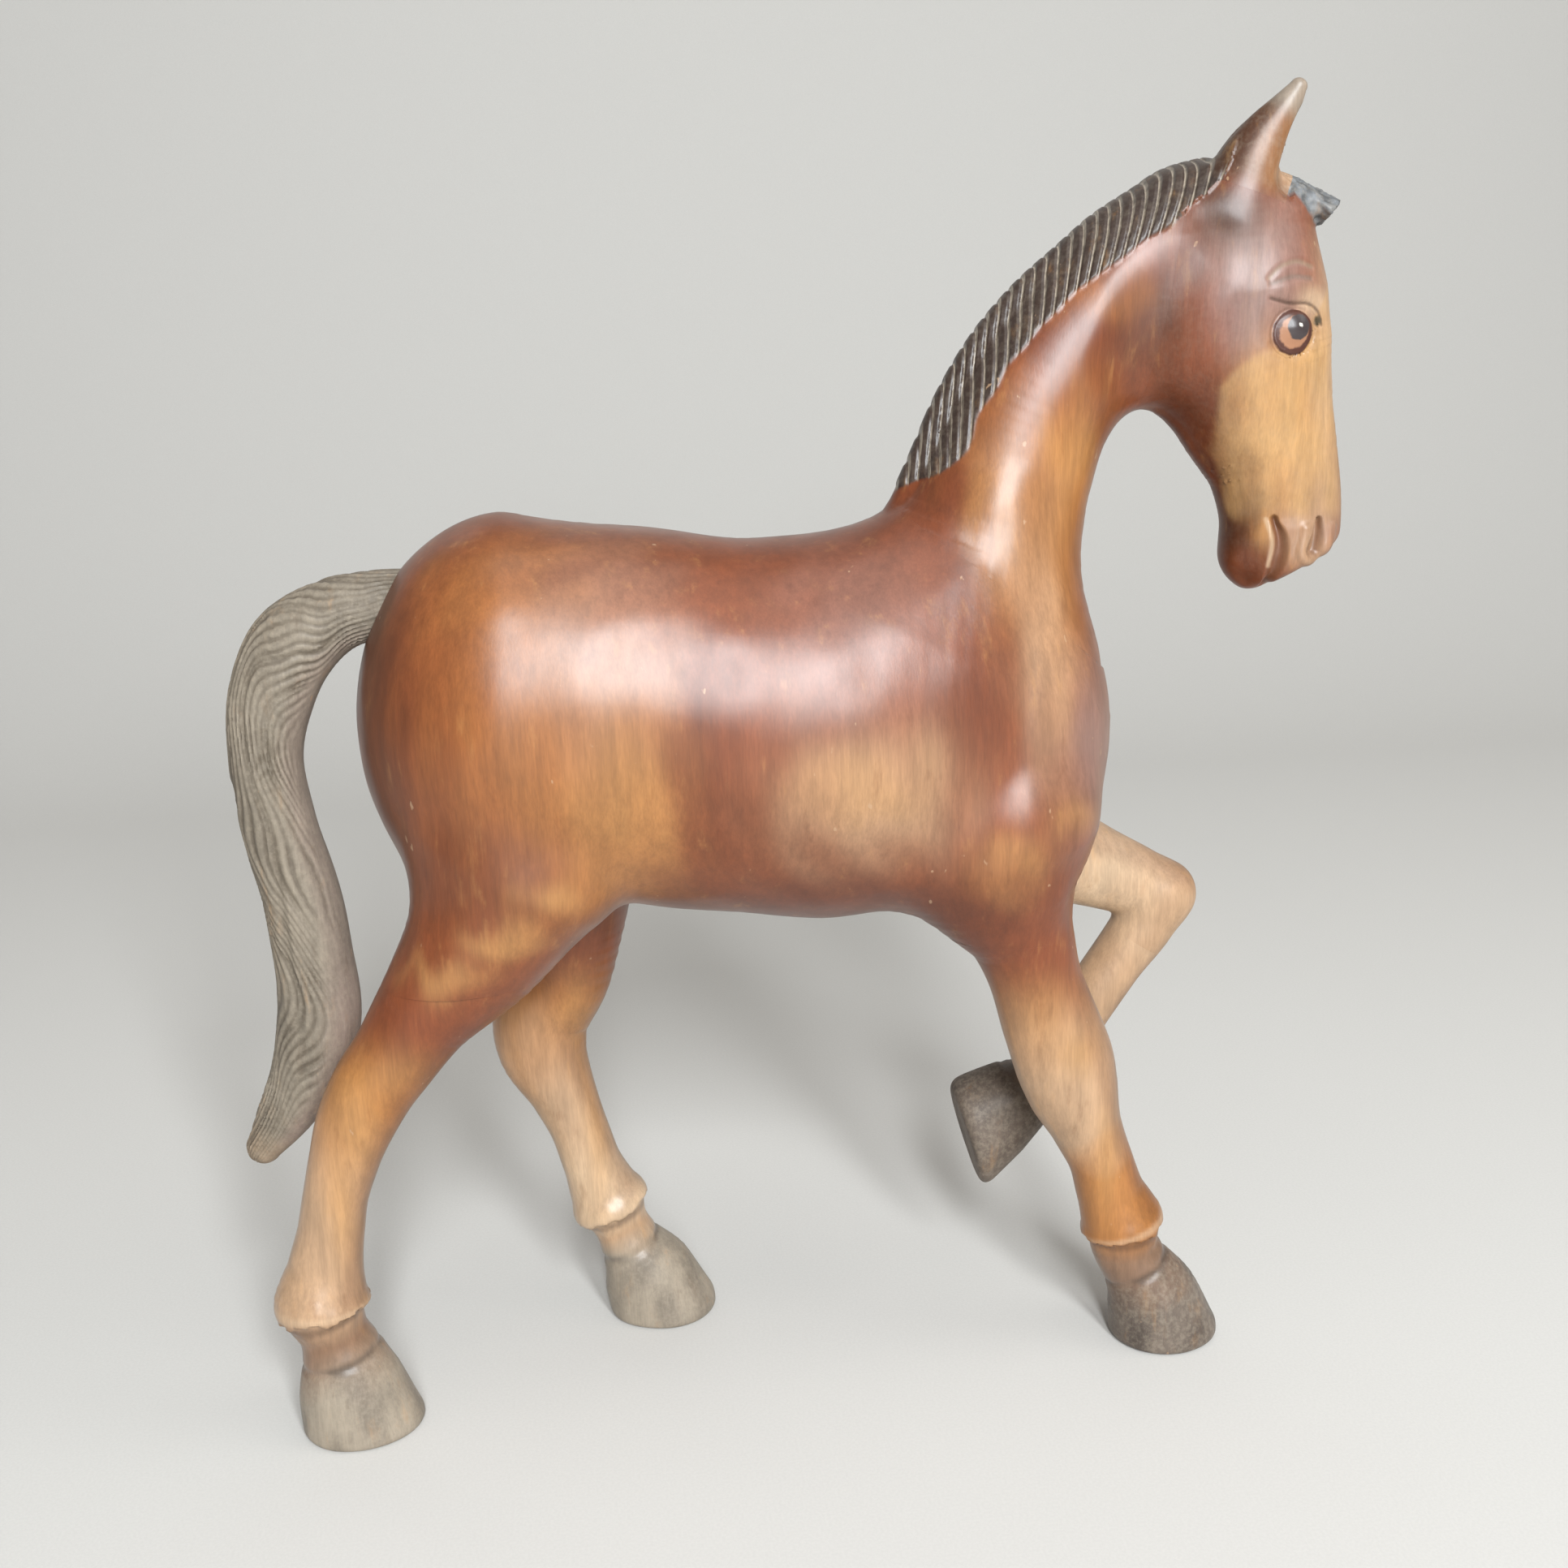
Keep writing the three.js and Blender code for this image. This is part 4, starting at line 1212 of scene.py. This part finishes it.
def leg_paint(name, leg):
    stations, tones = zip(*LEG_STAINS[name])
    at = [leg.at_station(station) for station in stations]
    ledge_at, hoof_at = FAR, FAR
    if name in LEDGES:
        _, ledge_station, hoof_station, _ = LEDGES[name]
        ledge_at = leg.at_station(ledge_station) + 2
        hoof_at = leg.at_station(hoof_station) - 1
    darker = 0.75 if name == "right_foreleg" else 0.35

    def paint(points):
        run, _, up, *_ = leg.locate(points)
        along = run + 3.5 * ripple(points, 24, 41)
        colour = np.stack([np.interp(along, at, [each[c] for each in tones]) for c in range(3)], axis=1)
        places = folded(*points.T)
        for middle, radii in WORN_LEGS.get(name, ()):
            distance = (((places - middle) / radii) ** 2).sum(axis=1)
            colour = toward(colour, GOLD, 0.55 * np.exp(-distance))
        behind = ramp(up, 4, 12) * ramp(run, ledge_at, ledge_at - 10)
        colour = toward(colour, DEEP_RED, 0.35 * behind)
        below = run - ledge_at
        colour = toward(colour, CREAM, 0.45 * mound(below + 2.2, 2.2))
        # painted shade: darker just under the ledge of each fetlock
        colour = toward(colour, UMBER, 0.5 * mound(below - 2.5, 3.5))
        # painted shade: patchy dark in the groove where the hoof begins
        coronet_shade = mound(run - hoof_at, 3.2) * ramp(ripple(points, 12, 43), -0.7, 0.2)
        colour = toward(colour, SMOKE, 0.6 * coronet_shade)
        hoof = ramp(run, hoof_at - 1, hoof_at + 3)
        colour = toward(colour, SMOKE, darker * hoof * ramp(ripple(points, 17, 44), -0.4, 1.2))
        body, _ = trunk_paint(points)
        return toward(colour, body, ramp(points[:, 2], 146, 184) * (name in STANDING)), 0.9 * hoof

    return paint


def tail_paint(points):
    groove, combed = tail_pattern(points)
    run, _, up, *_, depth = tail.locate(points)
    colour = np.tile(TAIL_GREY, (len(points), 1))
    colour = toward(colour, tone(100, 92, 82), ramp(run, 60, 0))
    colour = toward(colour, TAIL_INNER, ramp(up / depth, 0.3, 0.8))
    colour = toward(colour, MAUVE, 0.35 * ramp(run, 180, 215) * ramp(up / depth, 0, 0.6))
    colour = toward(colour, tone(142, 122, 100), 0.8 * ramp(run, 262, 276))
    return toward(colour, TAIL_GROOVE, 0.7 * groove * combed), np.full(len(points), 0.8)


def paint_mesh(mesh, painter, comb):
    """Keeps each point's colour, chalkiness and place among the combed lines for its material to read."""
    points = mesh_points(mesh)
    colour, chalk = painter(points)
    stain = mesh.color_attributes.new("stain", "FLOAT_COLOR", "POINT")
    opaque = np.column_stack([colour, np.ones(len(colour))])
    stain.data.foreach_set("color", opaque.astype(np.float32).ravel())
    place, amount = comb(points)
    for name, values in (("chalk", chalk), ("comb", place), ("combed", amount)):
        layer = mesh.attributes.new(name, "FLOAT", "POINT")
        layer.data.foreach_set("value", np.asarray(values, np.float32))


# ---- materials ----
class Finish:
    """A node material under construction."""

    def __init__(self, name):
        self.material = bpy.data.materials.new(name)
        self.material.use_nodes = True
        self.tree = self.material.node_tree
        self.shader = self.tree.nodes["Principled BSDF"]
        self.place = self.add("ShaderNodeTexCoord").outputs["Object"]

    def add(self, kind, inputs=(), **settings):
        node = self.tree.nodes.new(kind)
        for key, value in settings.items():
            setattr(node, key, value)
        for key, value in dict(inputs).items():
            if isinstance(value, bpy.types.NodeSocket):
                self.tree.links.new(value, node.inputs[key])
            else:
                node.inputs[key].default_value = value
        return node

    def math(self, operation, a, b=0.0):
        return self.add("ShaderNodeMath", {0: a, 1: b}, operation=operation).outputs[0]

    def noise(self, scale, detail=3.0, roughness=0.55, stretch=(1, 1, 1)):
        """Noise with that many bumps to the metre, longer where stretch is below 1."""
        mapped = self.add("ShaderNodeMapping", {"Vector": self.place, "Scale": [scale * s for s in stretch]})
        inputs = {"Vector": mapped.outputs[0], "Scale": 1.0, "Detail": detail, "Roughness": roughness}
        return self.add("ShaderNodeTexNoise", inputs).outputs[0]

    def remap(self, value, low, high, to_low=0.0, to_high=1.0, smooth=True):
        inputs = {"Value": value, "From Min": low, "From Max": high, "To Min": to_low, "To Max": to_high}
        kind = "SMOOTHSTEP" if smooth else "LINEAR"
        return self.add("ShaderNodeMapRange", inputs, interpolation_type=kind).outputs[0]

    def mix(self, factor, a, b, kind="MIX"):
        node = self.add("ShaderNodeMix", data_type="RGBA", blend_type=kind)
        for socket, value in ((0, factor), (6, a), (7, b)):
            if isinstance(value, bpy.types.NodeSocket):
                self.tree.links.new(value, node.inputs[socket])
            else:
                node.inputs[socket].default_value = value
        return node.outputs[2]

    def darkened(self, colour, factor):
        return self.mix(1.0, colour, factor, "MULTIPLY")

    def attribute(self, name, output):
        return self.add("ShaderNodeAttribute", attribute_name=name).outputs[output]

    def connect(self, socket, value):
        self.tree.links.new(value, self.shader.inputs[socket])

    def bump(self, height, strength, distance):
        inputs = {"Height": height, "Strength": strength, "Distance": distance}
        self.connect("Normal", self.add("ShaderNodeBump", inputs).outputs[0])


def rgba(colour):
    return (*[float(c) for c in colour], 1.0)


def combed_lines(finish, colour, line_tone, width, strength):
    """Fine lines along or across the hair, where the mesh says that it is combed."""
    amount = finish.attribute("combed", "Fac")
    wander = finish.math("MULTIPLY", finish.math("SUBTRACT", finish.noise(180, 2), 0.5), 0.12)
    place = finish.math("ADD", finish.attribute("comb", "Fac"), wander)
    gap = finish.math("ABSOLUTE", finish.math("SUBTRACT", finish.math("FRACT", place), 0.5))
    worn = finish.remap(finish.noise(300, 3), 0.3, 0.6, 0.4 * strength, strength)
    line = finish.math("MULTIPLY", finish.remap(gap, width * 1.5, width * 0.5), worn)
    line = finish.math("MULTIPLY", line, amount)
    return finish.mix(line, colour, rgba(line_tone)), line


def carved_wood(name, satin, coat, grain=(1, 1, 0.07), eyes=False, lines=(MANE_LINE, 0.075, 0.9)):
    """Stained wood: its tone comes from the mesh, and its grain, rubbed streaks and nicks from noise."""
    finish = Finish(name)
    stain = finish.attribute("stain", "Color")
    chalk = finish.attribute("chalk", "Fac")
    streak = finish.noise(330, 3, 0.6, grain)
    fibre = finish.noise(1500, 2, 0.6, (1, 1, grain[2] * 1.2))
    cloud = finish.noise(52, 4, 0.6, (1, 1, 0.45))
    patch = finish.noise(120, 5, 0.65, (1, 1, 0.3))
    colour = finish.darkened(stain, finish.remap(streak, 0.3, 0.7, 0.89, 1.08))
    colour = finish.darkened(colour, finish.remap(cloud, 0.3, 0.7, 0.88, 1.08))
    colour = finish.darkened(colour, finish.remap(fibre, 0.3, 0.7, 0.92, 1.06))
    along_grain = finish.remap(streak, 0.42, 0.62, 0.1, 0.45)
    rubbed = finish.math("MULTIPLY", finish.remap(patch, 0.55, 0.72), along_grain)
    colour = finish.mix(rubbed, colour, finish.mix(0.55, colour, rgba(GOLD)))
    sunk = finish.math("MULTIPLY", finish.remap(patch, 0.42, 0.28), 0.4)
    colour = finish.mix(sunk, colour, finish.darkened(colour, rgba((0.62, 0.52, 0.46))))
    dust = finish.math("MULTIPLY", chalk, finish.remap(finish.noise(420, 4, 0.7), 0.40, 0.68, 0.0, 0.30))
    colour = finish.mix(dust, colour, rgba(tone(160, 148, 130)))
    pits = finish.math("MULTIPLY", chalk, finish.remap(finish.noise(620, 3, 0.7), 0.42, 0.30, 0.0, 0.25))
    colour = finish.mix(pits, colour, finish.darkened(colour, rgba((0.5, 0.46, 0.42))))
    nick = finish.remap(finish.noise(260, 2, 0.5, (1, 1, 0.5)), 0.735, 0.775, 0.0, 0.6)
    colour = finish.mix(nick, colour, rgba(PALE))
    colour, line = combed_lines(finish, colour, *lines)
    roughness = finish.remap(cloud, 0.3, 0.7, satin + 0.05, satin - 0.03)
    roughness = finish.math("ADD", roughness, finish.math("MULTIPLY", chalk, 0.26))
    if eyes:
        colour, roughness = painted_eyes(finish, colour, roughness)
    finish.connect("Base Color", colour)
    finish.connect("Roughness", roughness)
    finish.shader.inputs["Specular IOR Level"].default_value = 0.32
    finish.shader.inputs["Coat Weight"].default_value = coat
    finish.shader.inputs["Coat Roughness"].default_value = 0.33
    height = finish.math("ADD", finish.math("MULTIPLY", streak, 0.7), finish.math("MULTIPLY", fibre, 0.5))
    height = finish.math("SUBTRACT", height, finish.math("ADD", finish.math("MULTIPLY", nick, 0.8), line))
    finish.bump(height, 0.16, 0.0003)
    return finish.material


def on_skin(forward, up, side):
    """Where a place on the side of the head lies on its skin, in metres in the frame."""
    near, far = 0.0, 60.0
    for _ in range(40):
        middle = (near + far) / 2
        inside = horse_field(head_to_horse([(forward, side * middle, up)]))[0] < 0
        near, far = (middle, far) if inside else (near, middle)
    x, y, z = head_to_horse([(forward, side * near, up)])[0]
    return ((x - MIDDLE_X) * MM, y * MM, z * MM)


PUPIL_RADIUS = 4.4
IRIS_RADIUS = 5.7
RING_RADIUS = 8.2


def painted_eyes(finish, colour, roughness):
    """Both eyes: a dark ring, a tan iris, a slate pupil and a white glint, each drawn by hand."""
    wobble = finish.math("MULTIPLY", finish.math("SUBTRACT", finish.noise(420, 2), 0.5), 1.5 * MM)

    def near(place):
        gaps = []
        for side in (-1, 1):
            inputs = {0: finish.place, 1: on_skin(*place, side)}
            gap = finish.add("ShaderNodeVectorMath", inputs, operation="DISTANCE").outputs["Value"]
            gaps.append(gap)
        return finish.math("ADD", finish.math("MINIMUM", *gaps), wobble)

    def disc(gap, radius, soft=0.35):
        return finish.remap(gap, (radius + soft) * MM, (radius - soft) * MM)

    to_ring = near(EYE_RING)
    to_pupil = near(EYE)
    to_corner = near(EYE_CORNER)
    colour = finish.mix(disc(to_ring, RING_RADIUS), colour, rgba(tone(70, 38, 28)))
    colour = finish.mix(disc(to_ring, IRIS_RADIUS, 0.5), colour, rgba(tone(150, 106, 78)))
    colour = finish.mix(disc(to_corner, 2.2, 0.6), colour, rgba(tone(66, 56, 40)))
    colour = finish.mix(disc(to_pupil, PUPIL_RADIUS), colour, rgba(tone(58, 50, 50)))
    # the white glint on each pupil is a painted highlight
    to_glint = near((EYE[0] + 0.3, EYE[1] + 0.2))
    colour = finish.mix(disc(to_glint, 1.15, 0.25), colour, rgba(tone(250, 245, 230)))
    # a small cream dot at the inner corner: a second painted highlight
    to_corner_glint = near((EYE_CORNER[0] - 0.6, EYE_CORNER[1] - 2.2))
    colour = finish.mix(disc(to_corner_glint, 0.7, 0.3), colour, rgba(tone(228, 218, 190)))
    glossy = finish.math("MULTIPLY", disc(to_pupil, PUPIL_RADIUS), 0.12)
    roughness = finish.math("SUBTRACT", roughness, glossy)
    return colour, roughness


def bare_wood():
    """Raw beech for the dowels, which are hidden in the wood."""
    finish = Finish("bare_wood")
    streak = finish.noise(420, 3, 0.6, (1, 1, 0.08))
    fleck = finish.noise(900, 2, 0.5, (1, 1, 0.2))
    colour = finish.mix(finish.remap(streak, 0.35, 0.65), rgba(tone(176, 134, 88)), rgba(tone(212, 176, 128)))
    colour = finish.mix(finish.remap(fleck, 0.62, 0.72, 0, 0.5), colour, rgba(tone(150, 104, 62)))
    finish.connect("Base Color", colour)
    finish.connect("Roughness", finish.remap(streak, 0.3, 0.7, 0.62, 0.75))
    finish.bump(streak, 0.3, 0.0003)
    return finish.material


# ---- the pieces ----
polished = carved_wood("stained_wood", 0.36, 0.4)
faced = carved_wood("stained_wood_face", 0.36, 0.25, (1, 1, 0.10), eyes=True)
limed = carved_wood("pale_wood", 0.46, 0.12)
weathered = carved_wood("grey_wood", 0.46, 0.10, (1, 1, 0.05), lines=(TAIL_GROOVE, 0.16, 0.65))
PIECES = {
    "torso": (polished, "stained_wood", trunk_paint),
    "neck": (polished, "stained_wood", trunk_paint),
    "head": (faced, "stained_wood", trunk_paint),
    "right_ear": (polished, "stained_wood", ear_paint("right_ear")),
    "left_ear": (polished, "stained_wood", ear_paint("left_ear")),
    "right_hindleg": (polished, "stained_wood", leg_paint("right_hindleg", right_hind)),
    "left_hindleg": (polished, "stained_wood", leg_paint("left_hindleg", left_hind)),
    "right_foreleg": (polished, "stained_wood", leg_paint("right_foreleg", right_fore)),
    "left_foreleg_upper": (limed, "pale_wood", leg_paint("left_foreleg_upper", forearm)),
    "left_foreleg_lower": (limed, "pale_wood", leg_paint("left_foreleg_lower", cannon)),
    "tail": (weathered, "grey_wood", tail_paint),
}
SHARP_EDGE = math.radians(50)
for node, (material, slot_name, painter) in PIECES.items():
    mesh = blocks[node]
    mesh.name = f"carved_{node}"
    paint_mesh(mesh, painter, tail_comb if node == "tail" else mane_comb)
    set_mesh_points(mesh, (mesh_points(mesh) - (MIDDLE_X, 0, 0)) * MM)
    mesh.materials.clear()
    mesh.materials.append(material)
    mesh.polygons.foreach_set("use_smooth", np.ones(len(mesh.polygons), bool))
    mesh.set_sharp_from_angle(angle=SHARP_EDGE)
    piece = bpy.data.objects.new(f"carved_{node}", mesh)
    bpy.context.scene.collection.objects.link(piece)
    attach(piece, "root")
    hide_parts(node)
beech = bare_wood()
for node, cad_object in frame["nodes"].items():
    if node not in PIECES:
        cad_object.data.materials.clear()
        cad_object.data.materials.append(beech)


# ---- floor, light and camera ----
def studio_material():
    finish = Finish("studio_paper")
    mottle = finish.noise(900, 2)
    colour = finish.mix(finish.remap(mottle, 0.3, 0.7), rgba(tone(198, 196, 192)), rgba(tone(202, 200, 196)))
    finish.connect("Base Color", colour)
    finish.shader.inputs["Roughness"].default_value = 0.75
    finish.shader.inputs["Specular IOR Level"].default_value = 0.25
    return finish.material


def studio_sweep():
    """A pale floor that curves up into a wall behind the horse."""
    half_width, front, back, bend, top = 5.0, -4.0, 1.8, 0.9, 4.0
    profile = [(front, 0.0), (back - bend, 0.0)]
    for a in np.linspace(0, math.pi / 2, 25)[1:]:
        profile.append((back - bend + bend * math.sin(a), bend - bend * math.cos(a)))
    profile.append((back, top))
    points = [(x, y, z) for y, z in profile for x in (-half_width, half_width)]
    faces = [(2 * k, 2 * k + 1, 2 * k + 3, 2 * k + 2) for k in range(len(profile) - 1)]
    mesh = bpy.data.meshes.new("studio_sweep")
    mesh.from_pydata(points, [], faces)
    mesh.polygons.foreach_set("use_smooth", np.ones(len(faces), bool))
    mesh.materials.append(studio_material())
    sweep = bpy.data.objects.new("studio_sweep", mesh)
    bpy.context.scene.collection.objects.link(sweep)


def soft_light(name, azimuth, elevation, distance, size, power, colour=(1, 1, 1), aim=(0, 0, 0.27)):
    """A rectangular light round the horse: azimuth 0 is on its right side, and 90 before its nose."""
    a, e = math.radians(azimuth), math.radians(elevation)
    toward_light = Vector((math.sin(a) * math.cos(e), -math.cos(a) * math.cos(e), math.sin(e)))
    data = bpy.data.lights.new(name, "AREA")
    data.shape = "RECTANGLE"
    data.size, data.size_y = size
    data.energy = power
    data.color = colour
    light = bpy.data.objects.new(name, data)
    light.location = Vector(aim) + toward_light * distance
    light.rotation_mode = "QUATERNION"
    light.rotation_quaternion = toward_light.to_track_quat("Z", "Y")
    bpy.context.scene.collection.objects.link(light)


studio_sweep()
soft_light("window_left", -1, 27, 2.5, (0.3, 1.3), 56, (0.93, 0.97, 1.0))
soft_light("window_right", 15, 27, 2.5, (0.3, 1.3), 56, (0.93, 0.97, 1.0))
soft_light("overhead", 30, 75, 2.4, (1.8, 1.8), 14, (1.0, 0.98, 0.95))
soft_light("side_fill", 75, 35, 3.0, (1.2, 1.2), 10, (1.0, 0.97, 0.93))
soft_light("back_fill", 200, 40, 3.0, (1.6, 1.2), 16, (1.0, 0.98, 0.96))

world = bpy.data.worlds.new("studio")
world.use_nodes = True
background = world.node_tree.nodes["Background"]
background.inputs["Color"].default_value = (0.94, 0.93, 0.91, 1)
background.inputs["Strength"].default_value = 0.28
bpy.context.scene.world = world
bpy.context.scene.view_settings.view_transform = "Standard"

CAMERA_AT = (-0.06615, -0.6057, 0.410)
CAMERA_HEADING = math.radians(6.5)  # to the right of straight across the horse
CAMERA_PITCH = math.radians(-15.09)
CAMERA_ROLL = math.radians(-1.71)
camera_data = bpy.data.cameras.new("camera")
camera_data.lens = 37.0
camera_data.sensor_width = 36.0
camera_data.clip_start = 0.01
camera = bpy.data.objects.new("camera", camera_data)
bpy.context.scene.collection.objects.link(camera)
turn = Matrix.Rotation(-CAMERA_HEADING, 4, "Z") @ Matrix.Rotation(math.pi / 2 + CAMERA_PITCH, 4, "X")
camera.matrix_world = Matrix.Translation(CAMERA_AT) @ turn @ Matrix.Rotation(CAMERA_ROLL, 4, "Z")
bpy.context.scene.camera = camera

bpy.context.view_layer.update()
